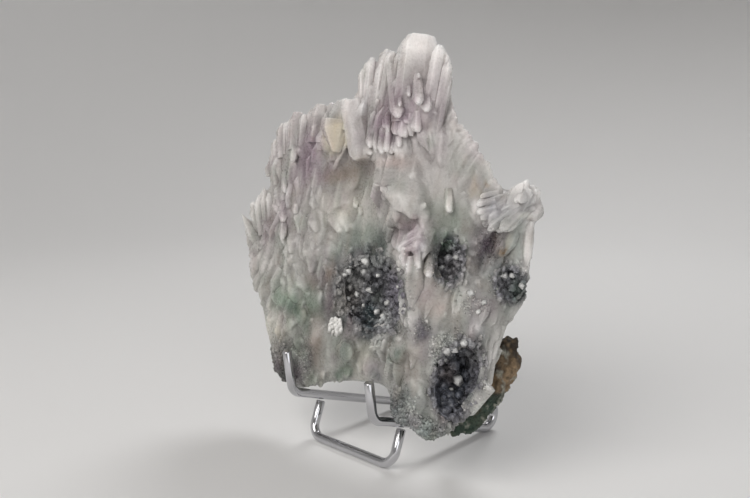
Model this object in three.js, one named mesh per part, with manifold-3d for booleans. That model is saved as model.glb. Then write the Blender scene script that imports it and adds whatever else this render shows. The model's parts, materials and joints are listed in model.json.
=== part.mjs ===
// An amethyst flower, a fused spray of milky quartz crystals, resting on its bent-wire stand.
// Millimetres, +Z up. The origin lies on the table under the middle of the stand's front bar.
// +X runs along that bar to the right and +Y to the back.

import * as THREE from 'three';
import { mergeVertices } from 'three/addons/utils/BufferGeometryUtils.js';
import Module from 'manifold-3d';

const wasm = await Module();
wasm.setup();

// ---------------------------------------------------------------------------
// Driving dimensions
// ---------------------------------------------------------------------------

const SEAT_GAP = 0.3;            // clearance left between pieces that touch

// Stand: two round wires
const WIRE_RADIUS = 2;
const WIRE_SIDES = 10;
const BEND_RADIUS = 6;
const BEND_STEPS = 6;
const ARM_X = 24.6;              // from the middle to an arm's centre line
const HOOK_CORNER_Y = -10.8;
const HOOK_LEAN = 8.1;           // degrees from upright, tips to the front
const HOOK_LENGTH = { left: 19.1, right: 16.4 };
const ARM_SLOPE = 17.5;          // degrees down to the back
const ARM_END_Y = 70;
const BACK_LEAN = 17;            // degrees from upright, top to the front
const BACK_TOP_Z = 88;
const FOOT_LEG_ALONG_ARM = 18;   // from the hook's corner to the foot loop's leg
const LEG_END_SHARE = 1.15;      // radii from the arm's centre line to a leg's end, which is cut at a slant
const CUT_DEPTH = 40;            // how far the room kept free for a wire runs on past it

// Specimen: it leans back on the stand. A face point (a, b) is across and up its front, and w is how
// far it stands out to the front. What stands out further moves along a line to FOCUS, because the
// flower opens to its right front.
const LEAN = 12;                 // degrees from upright
const FACE_FOOT = { y: -8, z: 20 };
const FOCUS = { a: 264, b: 78, w: 263 };

const BODY_COLUMNS = 18;
const BODY_ROWS = 11;
const RIM_DROP = 6;              // how far the front falls back at the outline
const RIM_REACH = 8;
const FLANK_START = 46;          // right of this the front turns away as the right flank
const FLANK_SLOPE = 0.42;
const FRONT_LEVEL = 3;
const BACK_LEVEL = -13;
const LEAST_THICKNESS = 7;
const RIB_SINK = 0.5;            // a rib's root lies this many radii under the surface
const RIB_LIFT = 0.12;           // and its tip this many above it

// ---------------------------------------------------------------------------
// Small helpers
// ---------------------------------------------------------------------------

const radians = THREE.MathUtils.degToRad;
const lerp = THREE.MathUtils.lerp;

function randomFrom(seed) {
  let state = seed;
  return () => {
    state = (state + 0x6d2b79f5) | 0;
    let mixed = Math.imul(state ^ (state >>> 15), 1 | state);
    mixed = (mixed + Math.imul(mixed ^ (mixed >>> 7), 61 | mixed)) ^ mixed;
    return ((mixed ^ (mixed >>> 14)) >>> 0) / 4294967296;
  };
}

// A closed solid from a geometry whose faces share their corners once merged.
function solidFrom(geometry) {
  const bare = geometry.clone();
  bare.deleteAttribute('normal');
  bare.deleteAttribute('uv');
  const merged = mergeVertices(bare, 1e-4);
  const index = merged.index.array;
  const corners = [];
  for (let i = 0; i < index.length; i += 3) {
    const [p, q, r] = [index[i], index[i + 1], index[i + 2]];
    if (p !== q && q !== r && r !== p) corners.push(p, q, r);
  }
  return new wasm.Manifold(new wasm.Mesh({
    numProp: 3,
    vertProperties: new Float32Array(merged.attributes.position.array),
    triVerts: new Uint32Array(corners),
  }));
}

function geometryFrom(solid) {
  const mesh = solid.getMesh();
  const geometry = new THREE.BufferGeometry();
  geometry.setAttribute('position', new THREE.BufferAttribute(mesh.vertProperties, 3));
  geometry.setIndex(new THREE.BufferAttribute(mesh.triVerts, 1));
  geometry.computeVertexNormals();
  return geometry;
}

const join = (solids) => wasm.Manifold.union(solids);

// The largest of the bodies that a cut leaves, so that no chip hangs loose.
function largestPiece(solid) {
  return solid.decompose().reduce((best, piece) => (piece.volume() > best.volume() ? piece : best));
}

// Height of a broken line, given as [across, height] points, above one place.
function heightOn(line, across) {
  const last = line.length - 1;
  if (across <= line[0][0]) return line[0][1];
  for (let i = 1; i <= last; i += 1) {
    const [x0, y0] = line[i - 1];
    const [x1, y1] = line[i];
    if (across <= x1) return lerp(y0, y1, (across - x0) / (x1 - x0));
  }
  return line[last][1];
}

// ---------------------------------------------------------------------------
// The specimen's face: its outline and relief
// ---------------------------------------------------------------------------

// Body's edges without the crystals that stand past them: [a, b]
const TOP_EDGE = [
  [-66, 82], [-63, 108], [-55, 120], [-46, 120], [-38, 125], [-29, 124], [-20, 127], [-13, 125],
  [-8, 142], [-1, 147], [8, 149], [20, 151], [27, 147], [31, 141], [35, 130], [41, 120],
  [49, 114], [57, 106], [65, 100], [71, 98], [79, 98], [84, 86],
];
const BOTTOM_EDGE = [
  [-66, 50], [-62, 41], [-55, 33], [-49, 21], [-44, 11], [-38, 7], [-29, 5], [-20, 5], [-14, 10],
  [2, 14.5], [12, 16.5], [24, 18.5], [31, 17.5], [33, 10], [38, 6.5], [47, 4], [55, 4], [64, 11.5],
  [70, 20], [73, 29], [74, 44], [78, 52], [84, 60],
];

// Swells and hollows of the front: a, b, half-widths across and along, height
const FRONT_RELIEF = [
  [18, 93, 15, 13, 9],      // lilac boss
  [36, 53, 7, 26, 8],       // ridge right of the middle hollow
  [60, 50, 11, 32, 4],      // right column
  [12, 138, 20, 18, 5],     // top spray
  [-42, 112, 20, 14, 5],    // upper left block
  [-50, 62, 18, 22, 3],
  [-6, 92, 12, 14, -7],     // recess under the top spray
  [8, 53, 18, 16, -6],      // the middle hollow's surroundings
  [47, 72, 7, 10, -4],
  [66, 77, 6, 7, -5],
  [77, 95, 10, 10, 5],      // right wing
  [46, 12, 9, 8, 3],        // lobe's foot
  [-25, 8, 9, 8, 4],        // foot in the left hook
];

// Swells of the back, which rests on the stand's top bar
const BACK_RELIEF = [
  [30, 74, 30, 42, -24],
  [-20, 95, 20, 24, -9],
  [54, 40, 14, 22, -8],
  [12, 132, 16, 18, -7],
  [-46, 66, 14, 20, -6],
  [-2, 112, 9, 12, 5],
  [4, 44, 12, 14, -5],
  [56, 92, 14, 14, -5],
];

function relief(swells, a, b) {
  let sum = 0;
  for (const [centreA, centreB, across, along, height] of swells) {
    sum += height * Math.exp(-(((a - centreA) / across) ** 2) - ((b - centreB) / along) ** 2);
  }
  return sum;
}

function distanceToRim(a, b) {
  const first = BOTTOM_EDGE[0][0];
  const last = BOTTOM_EDGE[BOTTOM_EDGE.length - 1][0];
  return Math.max(0, Math.min(
    a - first, last - a, heightOn(TOP_EDGE, a) - b, b - heightOn(BOTTOM_EDGE, a),
  ));
}

function frontDepth(a, b) {
  const drop = RIM_DROP * Math.exp(-distanceToRim(a, b) / RIM_REACH);
  const turn = FLANK_SLOPE * Math.max(0, a - FLANK_START);
  return FRONT_LEVEL + relief(FRONT_RELIEF, a, b) - drop - turn;
}

function backDepth(a, b) {
  const rise = RIM_DROP * 0.5 * Math.exp(-distanceToRim(a, b) / RIM_REACH);
  const depth = BACK_LEVEL + relief(BACK_RELIEF, a, b) + rise;
  return Math.min(depth, frontDepth(a, b) - LEAST_THICKNESS);
}

function facePoint(a, b, w) {
  const share = w / FOCUS.w;
  const across = a + (FOCUS.a - a) * share;
  const up = b + (FOCUS.b - b) * share;
  const sin = Math.sin(radians(LEAN));
  const cos = Math.cos(radians(LEAN));
  return new THREE.Vector3(across, FACE_FOOT.y + up * sin - w * cos, FACE_FOOT.z + up * cos + w * sin);
}

// ---------------------------------------------------------------------------
// Shapes on the face
// ---------------------------------------------------------------------------

// The body: a block with many facets, pulled to the outline and the reliefs of front and back.
function flowerBody() {
  const block = new THREE.BoxGeometry(1, 1, 1, BODY_COLUMNS, BODY_ROWS, 2);
  const place = block.attributes.position;
  const left = BOTTOM_EDGE[0][0];
  const right = BOTTOM_EDGE[BOTTOM_EDGE.length - 1][0];
  for (let i = 0; i < place.count; i += 1) {
    const a = lerp(left, right, place.getX(i) + 0.5);
    const b = lerp(heightOn(BOTTOM_EDGE, a), heightOn(TOP_EDGE, a), place.getY(i) + 0.5);
    const w = lerp(backDepth(a, b), frontDepth(a, b), place.getZ(i) + 0.5);
    place.setXYZ(i, ...facePoint(a, b, w));
  }
  return solidFrom(block);
}

// A six-sided crystal from a root to a tip, each [a, b, w]. It widens toward its shoulder from a root
// of taper radii. flat thins it from front to back, point is the pyramid's length in radii.
function crystal(root, tip, radius, { flat, point, turn, slant, taper = 0.8 }) {
  const start = facePoint(...root);
  const end = facePoint(...tip);
  const length = start.distanceTo(end);
  const shoulder = length - point * radius;
  const profile = [
    new THREE.Vector2(0, 0),
    new THREE.Vector2(radius * taper, 0),
    new THREE.Vector2(radius, shoulder),
    new THREE.Vector2(0, length),
  ];
  const geometry = new THREE.LatheGeometry(profile, 6, turn);
  const place = geometry.attributes.position;
  for (let i = 0; i < place.count; i += 1) {
    const atTip = place.getY(i) > length - 1e-6;
    place.setX(i, place.getX(i) + (atTip ? slant * radius : 0));
    place.setZ(i, place.getZ(i) * flat);
  }
  const along = end.clone().sub(start).normalize();
  const outward = facePoint(root[0], root[1], root[2] + 1).sub(start);
  const across = along.clone().cross(outward).normalize();
  const front = across.clone().cross(along);
  geometry.applyMatrix4(new THREE.Matrix4().makeBasis(across, along, front).setPosition(start));
  return solidFrom(geometry);
}

// A four-sided spike, the tip of a small crystal.
function spike(root, tip, radius) {
  const start = facePoint(...root);
  const along = facePoint(...tip).sub(start);
  const profile = [[0, 0], [radius, 0], [0, along.length()]];
  const geometry = new THREE.LatheGeometry(profile.map((corner) => new THREE.Vector2(...corner)), 4);
  const upright = new THREE.Vector3(0, 1, 0);
  const turn = new THREE.Quaternion().setFromUnitVectors(upright, along.normalize());
  geometry.applyQuaternion(turn).translate(start.x, start.y, start.z);
  return solidFrom(geometry);
}

// A rounded, uneven lump with its middle at [a, b, w]. grow moves its skin out or in.
// fall is how fast its middle drops back toward its right.
function lump(shape, grow = 0) {
  const { middle, across, along, deep, turn = 0, fall = 0, detail = 2, uneven = 0.1, seed = 1 } = shape;
  const geometry = new THREE.IcosahedronGeometry(1, detail);
  const place = geometry.attributes.position;
  const cos = Math.cos(radians(turn));
  const sin = Math.sin(radians(turn));
  for (let i = 0; i < place.count; i += 1) {
    const [x, y, z] = [place.getX(i), place.getY(i), place.getZ(i)];
    const wave = Math.sin(5 * x + seed) * Math.cos(4 * y - seed) + Math.sin(6 * z + 2 * seed + 3 * x);
    const swell = 1 + uneven * wave * 0.5;
    const dx = x * (across * swell + grow);
    const dy = y * (along * swell + grow);
    const dz = z * (deep * swell + grow);
    const right = dx * cos - dy * sin;
    place.setXYZ(i, ...facePoint(
      middle[0] + right, middle[1] + dx * sin + dy * cos, middle[2] + dz - fall * right,
    ));
  }
  return solidFrom(geometry);
}

// ---------------------------------------------------------------------------
// Crystals of the flower
// ---------------------------------------------------------------------------

// Crystals that make the skyline: root a, b, w, tip a, b, w, radius, flat, point
const SKYLINE = [
  [-61, 56, -6, -84, 76.5, -2, 4.6, 0.8, 3.4],      // left spike and blades
  [-59, 62, -5, -69, 89.5, 0, 6, 0.6, 0.8],
  [-63, 62, -6, -74, 84.5, -2, 3.8, 0.7, 0.9],
  [-56, 86, -5, -62.5, 106.5, -2, 4, 0.8, 0.8],     // left edge
  [-54, 94, -6, -61, 113.5, -4, 4, 0.8, 0.8],
  [-53, 100, -5, -60, 121, -2, 4.2, 0.8, 0.8],
  [-47, 104, -4, -52.5, 126, 0, 5.2, 0.8, 0.6],     // top of the left block
  [-37, 106, -3, -40, 129, 1, 5, 0.8, 0.6],
  [-23, 108, -2, -25, 131, 2, 5, 0.8, 0.5],
  [-16, 108, -3, -17.5, 131, 1, 5.4, 0.8, 0.5],
  [-6, 120, -6, -11.5, 138, -3, 3.6, 0.8, 0.8],     // left side of the top spray
  [-5, 130, -6, -13.6, 145, -4, 2.8, 0.9, 0.9],
  [-4, 126, -5, -9.6, 149.6, -2, 3.8, 0.8, 0.7],
  [0, 128, -4, -1.6, 154, 0, 4.2, 0.8, 0.7],
  [11, 124, -5, 11.5, 157, -2, 5, 0.8, 0.35],       // tallest crystals
  [16, 122, -4, 17, 158.8, 0, 5.8, 0.8, 0.3],
  [20, 126, -8, 20.5, 156.5, -5, 4.2, 0.8, 0.4],
  [26, 126, -5, 28.5, 153.2, -2, 4.2, 0.8, 0.7],
  [27, 120, -9, 31.4, 146, -6, 3.2, 0.8, 0.9],      // right slope
  [30, 112, -9, 33.4, 134, -6, 3, 0.8, 0.8],
  [36, 106, -9, 39.8, 125.5, -6, 3, 0.8, 0.7],
  [41, 102, -10, 45, 121.5, -7, 3.2, 0.8, 0.7],
  [47, 96, -11, 52.4, 116.5, -8, 3.4, 0.8, 0.7],
  [52, 92, -12, 57.8, 109.5, -10, 3.4, 0.8, 0.7],
  [71, 84, -16, 77.5, 103.4, -12, 4.2, 0.8, 0.6],   // right wing
  [75, 84, -18, 82, 101.6, -14, 3.8, 0.8, 0.6],
  [71, 86, -18, 86.6, 94.6, -15, 4.4, 0.8, 0.5],
];

// Crystals that stand out of the front: root a, b, w, tip a, b, w, radius, flat, point
const FACE_CRYSTALS = [
  [5, 125, 1, 5, 107.5, 5, 3.2, 0.9, 0.8],         // hanging tips under the top spray
  [-2, 124, 0, -1, 108, 4, 3, 0.9, 0.8],
  [11, 136, 4, 12, 119.5, 8, 3, 0.9, 0.8],
  [18, 134, 3, 16.5, 116.5, 7, 3.6, 0.9, 0.8],
  [17, 145, 3, 21, 129, 8, 2.5, 0.9, 0.8],
  [2, 132, 2, 6.5, 117.5, 7, 1.9, 0.9, 0.8],
  [-20, 129, 0, -6, 105, 5, 6.2, 0.6, 0.5],        // the long slanting blade
  [-26, 124, 0, -27.5, 106.5, 7, 6.4, 0.7, 0.8],   // cream block
  [21, 106, 2, 24, 79, 9, 9, 0.6, 0.5],            // lilac boss
  [13, 106, 2, 9, 86, 8, 6, 0.7, 0.6],
  [29, 105, 1, 31, 84, 7, 5.4, 0.7, 0.6],
  [34, 80, 3, 17.5, 71, 9, 4, 0.5, 1.4],           // blades under it
  [36, 77, 4, 22, 66, 10, 3.6, 0.5, 1.4],
  [40, 108, -1, 44, 89.5, 4, 2.2, 0.9, 0.8],       // lone rods
  [38, 72, 3, 38, 62.5, 8, 1.8, 0.9, 0.8],
  [73, 98, -8, 57.5, 88, -1, 2.8, 0.8, 0.9],       // fingers of the right wing
  [74, 96, -8, 60, 85, 0, 2.8, 0.8, 0.9],
  [75, 95, -9, 64, 83, -1, 2.8, 0.8, 0.9],
  [77, 94, -10, 69, 84, -5, 2.8, 0.8, 0.9],
];

// Ribs: crystals fused along the front for most of their length. Root a, b, tip a, b, radius
const RIBS = [
  [-58, 88, -61.5, 114, 4], [-53, 90, -54, 121, 5], [-46, 94, -46, 119, 4.4], [-40, 90, -41, 122, 5],
  [-51, 86, -54.5, 70, 3.8], [-44, 60, -47, 84, 5], [-26, 92, -27.5, 58, 6.4],
  [-18, 88, -17, 60, 5.4], [-37, 84, -40, 54, 5.6], [-58, 70, -64.5, 44, 5.4], [-50, 62, -56, 38, 5],
  [-10, 94, -8, 70, 5.4], [2, 94, 5, 68, 5], [-18, 46, -16, 22, 5.4], [-30, 48, -34, 24, 5],
  [21, 44, 18, 27, 5], [2, 36, 2, 20, 4.6], [33, 72, 31, 44, 4.8],
  [43, 62, 37, 30, 6], [61, 80, 57, 48, 4.8], [69, 60, 64, 42, 5],
  [77, 58, 71, 27, 3.6], [79, 92, 80, 68, 3.6], [44, 90, 46, 116, 5], [36, 96, 36, 122, 5],
  [53, 86, 54, 107, 4.6], [27, 104, 29, 132, 5], [24, 126, 25, 150, 4.8], [7, 128, 7, 147, 4.4],
  [62, 84, 64, 101, 4.4], [-4, 116, -6, 140, 4], [43, 28, 43, 10, 6],
];

// Broad crystals on the back, where w falls to the rear. Root a, b, tip a, b, radius
const BACK_RIBS = [
  [-34, 70, -50, 94, 6], [-18, 86, -24, 114, 7], [-38, 92, -46, 114, 6], [-10, 100, -14, 124, 6],
  [6, 112, 6, 142, 6], [20, 112, 23, 144, 6], [42, 94, 50, 112, 6], [14, 62, 4, 36, 6],
];

const LUMPS = [
  { middle: [35.5, 11, -6], across: 5.5, along: 5.5, deep: 5.5, detail: 1, seed: 5 },
  { middle: [0, 27, 1], across: 5, along: 5, deep: 5, detail: 1, seed: 9 },
  { middle: [29, 32, 3], across: 5, along: 5, deep: 5, detail: 1, seed: 11 },
];

function rowCrystal([rootA, rootB, rootW, tipA, tipB, tipW, radius, flat, point], random) {
  const options = { flat, point, turn: random() * 0.7, slant: (random() - 0.5) * 0.7 };
  return crystal([rootA, rootB, rootW], [tipA, tipB, tipW], radius, options);
}

// A rib lies along a surface; side is 1 on the front and -1 on the back.
function rib([rootA, rootB, tipA, tipB, radius], surface, side, random) {
  const root = [rootA, rootB, surface(rootA, rootB) - side * RIB_SINK * radius];
  const tip = [tipA, tipB, surface(tipA, tipB) + side * RIB_LIFT * radius];
  const options = {
    flat: 0.8, point: 0.7, turn: random() * 0.7, slant: (random() - 0.5) * 0.6, taper: 0.4,
  };
  return crystal(root, tip, radius, options);
}

// ---------------------------------------------------------------------------
// Hollows with their dark crusts, and the host rock
// ---------------------------------------------------------------------------

const POCKETS = {
  center_pocket_druse: {
    middle: [11, 52, -4], across: 20, along: 15.5, deep: 11.5, turn: -22, uneven: 0.14, seed: 2,
    detail: 1, crystals: 18, size: 3,
  },
  lower_pocket_druse: {
    middle: [60, 28, -8], across: 11.5, along: 17, deep: 11, turn: -12, fall: 0.5, uneven: 0.14, seed: 4,
    detail: 1, crystals: 14, size: 2.7,
  },
  small_pocket_druse: {
    middle: [48, 70.5, -3], across: 8, along: 9.5, deep: 8, turn: 15, seed: 6,
    detail: 1, crystals: 6, size: 2.2,
  },
  edge_pocket_druse: {
    middle: [76.5, 66, -15], across: 7.5, along: 6.5, deep: 6, turn: -10, fall: 0.7, seed: 8,
    detail: 1, crystals: 5, size: 2.1,
  },
};
const CRUST_THICKNESS = 3.5;
const CRUST_OPEN_SHARE = 0.9;    // the crust's own hollow, as a share of the pocket's width
const CRUST_OPEN_SHIFT = 1.4;    // how far that hollow stands forward, in crust thicknesses
const SPREAD = 0.82;             // how far out its crystals stand, as a share of the pocket's width
const SPREAD_TURN = 2.4;         // radians from one crystal to the next
const ROCK_WALL = 2;             // quartz left between the lower hollow and the host rock

// A crust lines the back of its hollow, with small crystals that point into it.
function druseCrust(pocket) {
  const random = randomFrom(pocket.seed * 7);
  const room = lump(pocket, -SEAT_GAP);
  const { middle, across, along, deep } = pocket;
  const opening = lump({
    ...pocket, middle: [middle[0], middle[1], middle[2] + CRUST_THICKNESS * CRUST_OPEN_SHIFT],
    across: across * CRUST_OPEN_SHARE, along: along * CRUST_OPEN_SHARE, deep,
  });
  const small = [];
  for (let i = 0; i < pocket.crystals; i += 1) {
    const distance = Math.sqrt((i + 0.5) / pocket.crystals) * SPREAD;
    const angle = i * SPREAD_TURN + random() * 0.6;
    const x = distance * Math.cos(angle);
    const y = distance * Math.sin(angle);
    const floor = middle[2] - deep * Math.sqrt(1 - distance ** 2) + CRUST_THICKNESS * 0.5;
    const turn = radians(pocket.turn);
    const right = x * across * Math.cos(turn) - y * along * Math.sin(turn);
    const at = [middle[0] + right, middle[1] + x * across * Math.sin(turn) + y * along * Math.cos(turn)];
    const bottom = floor - (pocket.fall ?? 0) * right;
    const inward = pocket.size * (0.5 + random());
    const root = [at[0], at[1], bottom];
    const tip = [at[0] - x * inward, at[1] - y * inward, bottom + CRUST_THICKNESS * (1.5 + random())];
    small.push(spike(root, tip, pocket.size * (0.75 + 0.5 * random())));
  }
  return largestPiece(join([room.subtract(opening), ...small]).intersect(room));
}

const MATRIX = {
  middle: [72.5, 28, -25], across: 8, along: 21.5, deep: 9, turn: -28, uneven: 0.2, seed: 12,
};

// ---------------------------------------------------------------------------
// Stand
// ---------------------------------------------------------------------------

// A wire's centre line through its corners, rounded with BEND_RADIUS, with points only where it bends.
class WirePath extends THREE.Curve {
  constructor(corners) {
    super();
    this.points = [corners[0].clone()];
    for (let i = 1; i < corners.length - 1; i += 1) this.addBend(corners[i - 1], corners[i], corners[i + 1]);
    this.points.push(corners[corners.length - 1].clone());
  }

  addBend(before, corner, after) {
    const inward = corner.clone().sub(before).normalize();
    const onward = after.clone().sub(corner).normalize();
    const half = inward.angleTo(onward) / 2;
    const start = corner.clone().addScaledVector(inward, -BEND_RADIUS * Math.tan(half));
    const bisector = onward.clone().sub(inward).normalize();
    const centre = corner.clone().addScaledVector(bisector, BEND_RADIUS / Math.cos(half));
    const axis = inward.clone().cross(onward).normalize();
    for (let i = 0; i <= BEND_STEPS; i += 1) {
      const arm = start.clone().sub(centre).applyAxisAngle(axis, (2 * half * i) / BEND_STEPS);
      this.points.push(arm.add(centre));
    }
  }

  getPoint(t) {
    return this.points[Math.round(t * (this.points.length - 1))].clone();
  }

  getSpacedPoints() {
    return this.points.map((point) => point.clone());
  }

  getTangentAt(t) {
    const i = Math.round(t * (this.points.length - 1));
    const before = this.points[Math.max(0, i - 1)];
    const here = this.points[i];
    const after = this.points[Math.min(this.points.length - 1, i + 1)];
    const arriving = here.clone().sub(before).normalize();
    const leaving = after.clone().sub(here).normalize();
    return arriving.add(leaving).normalize();
  }
}

// A regular outline whose flat sides touch the circle; one faces the direction given in degrees.
function roundOutline(flatToward) {
  const outline = new THREE.Shape();
  const radius = WIRE_RADIUS / Math.cos(Math.PI / WIRE_SIDES);
  for (let i = 0; i < WIRE_SIDES; i += 1) {
    const angle = radians(flatToward) + ((i + 0.5) / WIRE_SIDES) * 2 * Math.PI;
    const corner = [radius * Math.cos(angle), radius * Math.sin(angle)];
    if (i === 0) outline.moveTo(...corner);
    else outline.lineTo(...corner);
  }
  outline.closePath();
  return outline;
}

function wire(corners, flatToward) {
  const path = new WirePath(corners);
  return new THREE.ExtrudeGeometry(roundOutline(flatToward), {
    steps: path.points.length - 1, extrudePath: path,
  });
}

// The bend at an arm's rear end touches the table: the corner lies so that the arc's lowest point
// is one wire radius up.
const rearTurn = radians(90 + BACK_LEAN + ARM_SLOPE);
const rearCornerZ = WIRE_RADIUS + BEND_RADIUS
  - BEND_RADIUS * (Math.cos(radians(ARM_SLOPE)) + Math.tan(rearTurn / 2) * Math.sin(radians(ARM_SLOPE)));
const armHeight = (y) => rearCornerZ + (ARM_END_Y - y) * Math.tan(radians(ARM_SLOPE));
const hookCorner = { y: HOOK_CORNER_Y, z: armHeight(HOOK_CORNER_Y) };
const backTop = { y: ARM_END_Y - (BACK_TOP_Z - rearCornerZ) * Math.tan(radians(BACK_LEAN)), z: BACK_TOP_Z };

function hookTip(side, length) {
  const lean = radians(HOOK_LEAN);
  return new THREE.Vector3(
    side * ARM_X, hookCorner.y - length * Math.sin(lean), hookCorner.z + length * Math.cos(lean),
  );
}

function sideCorners(side, hookLength) {
  return [
    hookTip(side, hookLength),
    new THREE.Vector3(side * ARM_X, hookCorner.y, hookCorner.z),
    new THREE.Vector3(side * ARM_X, ARM_END_Y, rearCornerZ),
    new THREE.Vector3(side * ARM_X, backTop.y, backTop.z),
  ];
}

function standWire() {
  const left = sideCorners(-1, HOOK_LENGTH.left);
  const right = sideCorners(1, HOOK_LENGTH.right);
  return wire([...left, ...right.reverse()], 90);
}

function footLoop() {
  const alongY = FOOT_LEG_ALONG_ARM * Math.cos(radians(ARM_SLOPE));
  const legTop = { y: hookCorner.y + alongY, z: armHeight(hookCorner.y + alongY) };
  const legLean = Math.atan2(legTop.y, legTop.z - WIRE_RADIUS);
  const reach = Math.hypot(legTop.y, legTop.z - WIRE_RADIUS) - WIRE_RADIUS * LEG_END_SHARE - SEAT_GAP;
  const top = (side) => new THREE.Vector3(
    side * ARM_X, reach * Math.sin(legLean), WIRE_RADIUS + reach * Math.cos(legLean),
  );
  const foot = (side) => new THREE.Vector3(side * ARM_X, 0, WIRE_RADIUS);
  return wire([top(-1), foot(-1), foot(1), top(1)], THREE.MathUtils.radToDeg(legLean));
}

// Room kept free for one straight stretch of wire, running on in one direction past it.
function wireRoom(start, end, onward) {
  const radius = WIRE_RADIUS + SEAT_GAP;
  const along = end.clone().sub(start);
  const length = along.length();
  along.normalize();
  const away = onward.clone().addScaledVector(along, -onward.dot(along)).normalize();
  const outline = new THREE.Shape();
  outline.absarc(0, 0, radius, Math.PI, 0, true);
  outline.lineTo(radius, -CUT_DEPTH);
  outline.lineTo(-radius, -CUT_DEPTH);
  outline.closePath();
  const room = new THREE.ExtrudeGeometry(outline, { depth: length, bevelEnabled: false, curveSegments: 8 });
  const toward = away.clone().negate();
  const side = toward.clone().cross(along);
  room.applyMatrix4(new THREE.Matrix4().makeBasis(side, toward, along).setPosition(start));
  return solidFrom(room);
}

function standRoom() {
  const down = new THREE.Vector3(0, 0, -1);
  const front = new THREE.Vector3(0, -1, 0);
  const back = new THREE.Vector3(0, 1, 0);
  const rooms = [];
  for (const side of [-1, 1]) {
    const length = side < 0 ? HOOK_LENGTH.left : HOOK_LENGTH.right;
    const [tip, corner, rear, top] = sideCorners(side, length + WIRE_RADIUS);
    rooms.push(wireRoom(corner, tip, front), wireRoom(corner, rear, down), wireRoom(top, rear, back));
  }
  const topLeft = new THREE.Vector3(-ARM_X, backTop.y, backTop.z);
  const topRight = new THREE.Vector3(ARM_X, backTop.y, backTop.z);
  rooms.push(wireRoom(topLeft, topRight, back));
  return join(rooms);
}

// ---------------------------------------------------------------------------
// Pieces
// ---------------------------------------------------------------------------

const room = standRoom();

// The host rock's form, kept off the lower hollow; grow moves its skin out or in.
function rockForm(grow) {
  return lump(MATRIX, grow).subtract(lump(POCKETS.lower_pocket_druse, ROCK_WALL - grow));
}

function crystalFlower() {
  const random = randomFrom(5);
  const grown = [flowerBody()];
  for (const row of [...SKYLINE, ...FACE_CRYSTALS]) grown.push(rowCrystal(row, random));
  for (const row of RIBS) grown.push(rib(row, frontDepth, 1, random));
  for (const row of BACK_RIBS) grown.push(rib(row, backDepth, -1, random));
  for (const swell of LUMPS) grown.push(lump(swell));
  const hollows = Object.values(POCKETS).map((pocket) => lump(pocket));
  const cuts = join([room, rockForm(SEAT_GAP), ...hollows]);
  return largestPiece(join(grown).subtract(cuts));
}

function matrixRind() {
  return largestPiece(rockForm(0).subtract(room));
}

const quartz = new THREE.MeshStandardMaterial({ color: 0xcfc8cc, roughness: 0.35, metalness: 0 });
const rock = new THREE.MeshStandardMaterial({ color: 0x6b6550, roughness: 0.85, metalness: 0 });
const druse = new THREE.MeshStandardMaterial({ color: 0x3e4448, roughness: 0.4, metalness: 0 });
const chrome = new THREE.MeshStandardMaterial({ color: 0xd8dadc, roughness: 0.08, metalness: 1 });

function piece(name, geometry, material) {
  const mesh = new THREE.Mesh(geometry, material);
  mesh.name = name;
  return mesh;
}

const specimenOnStand = new THREE.Group();
specimenOnStand.add(piece('crystal_flower', geometryFrom(crystalFlower()), quartz));
specimenOnStand.add(piece('matrix_rind', geometryFrom(matrixRind()), rock));
for (const [name, pocket] of Object.entries(POCKETS)) {
  specimenOnStand.add(piece(name, geometryFrom(druseCrust(pocket)), druse));
}
specimenOnStand.add(piece('stand_wire', geometryFrom(solidFrom(standWire())), chrome));
specimenOnStand.add(piece('foot_loop', geometryFrom(solidFrom(footLoop())), chrome));

export default specimenOnStand;
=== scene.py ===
"""An amethyst flower specimen resting on its chrome wire stand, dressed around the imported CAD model.

Lengths are in metres, except face coordinates, which are in millimetres: (a, b) is across and up the
specimen's leaning front, and w is how far a point stands out of it. MM turns millimetres into metres.
"""

import json
import math

import bpy
import numpy as np
from mathutils import Matrix, Vector
from mathutils.bvhtree import BVHTree

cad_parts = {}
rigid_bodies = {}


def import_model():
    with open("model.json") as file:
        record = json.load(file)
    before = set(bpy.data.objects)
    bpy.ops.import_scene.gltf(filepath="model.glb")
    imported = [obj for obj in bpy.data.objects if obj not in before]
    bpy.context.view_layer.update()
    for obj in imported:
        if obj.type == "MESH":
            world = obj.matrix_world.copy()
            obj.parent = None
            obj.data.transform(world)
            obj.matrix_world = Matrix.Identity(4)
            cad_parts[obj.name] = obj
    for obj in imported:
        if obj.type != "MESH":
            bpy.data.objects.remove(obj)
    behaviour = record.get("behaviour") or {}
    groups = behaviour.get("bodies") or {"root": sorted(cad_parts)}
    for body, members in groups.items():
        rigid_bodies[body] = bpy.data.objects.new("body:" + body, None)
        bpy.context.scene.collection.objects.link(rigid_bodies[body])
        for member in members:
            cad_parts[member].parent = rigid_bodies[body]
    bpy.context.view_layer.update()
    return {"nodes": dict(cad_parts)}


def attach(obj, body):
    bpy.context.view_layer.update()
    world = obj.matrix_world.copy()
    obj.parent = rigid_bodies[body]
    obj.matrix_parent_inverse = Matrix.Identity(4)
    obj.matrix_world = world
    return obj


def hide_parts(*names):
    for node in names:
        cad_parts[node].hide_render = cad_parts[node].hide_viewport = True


MM = 0.001

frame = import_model()

# ---------------------------------------------------------------------------
# Camera, floor and light
# ---------------------------------------------------------------------------

CAMERA_PLACE = (0.2637, -0.2488, 0.1511)
CAMERA_PITCH = 9.8               # degrees down
CAMERA_YAW = 45.0                # degrees from +Y, anticlockwise from above
CAMERA_LENS = 43.2               # mm, on a sensor 36 mm wide
FLOOR_GREY = (0.80, 0.795, 0.79)
BACKDROP_DISTANCE = 1.4
BACKDROP_RADIUS = 0.8
BACKDROP_HEIGHT = 2.2
BACKDROP_TURNS = 96
SWEEP_STEPS = 12


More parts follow.
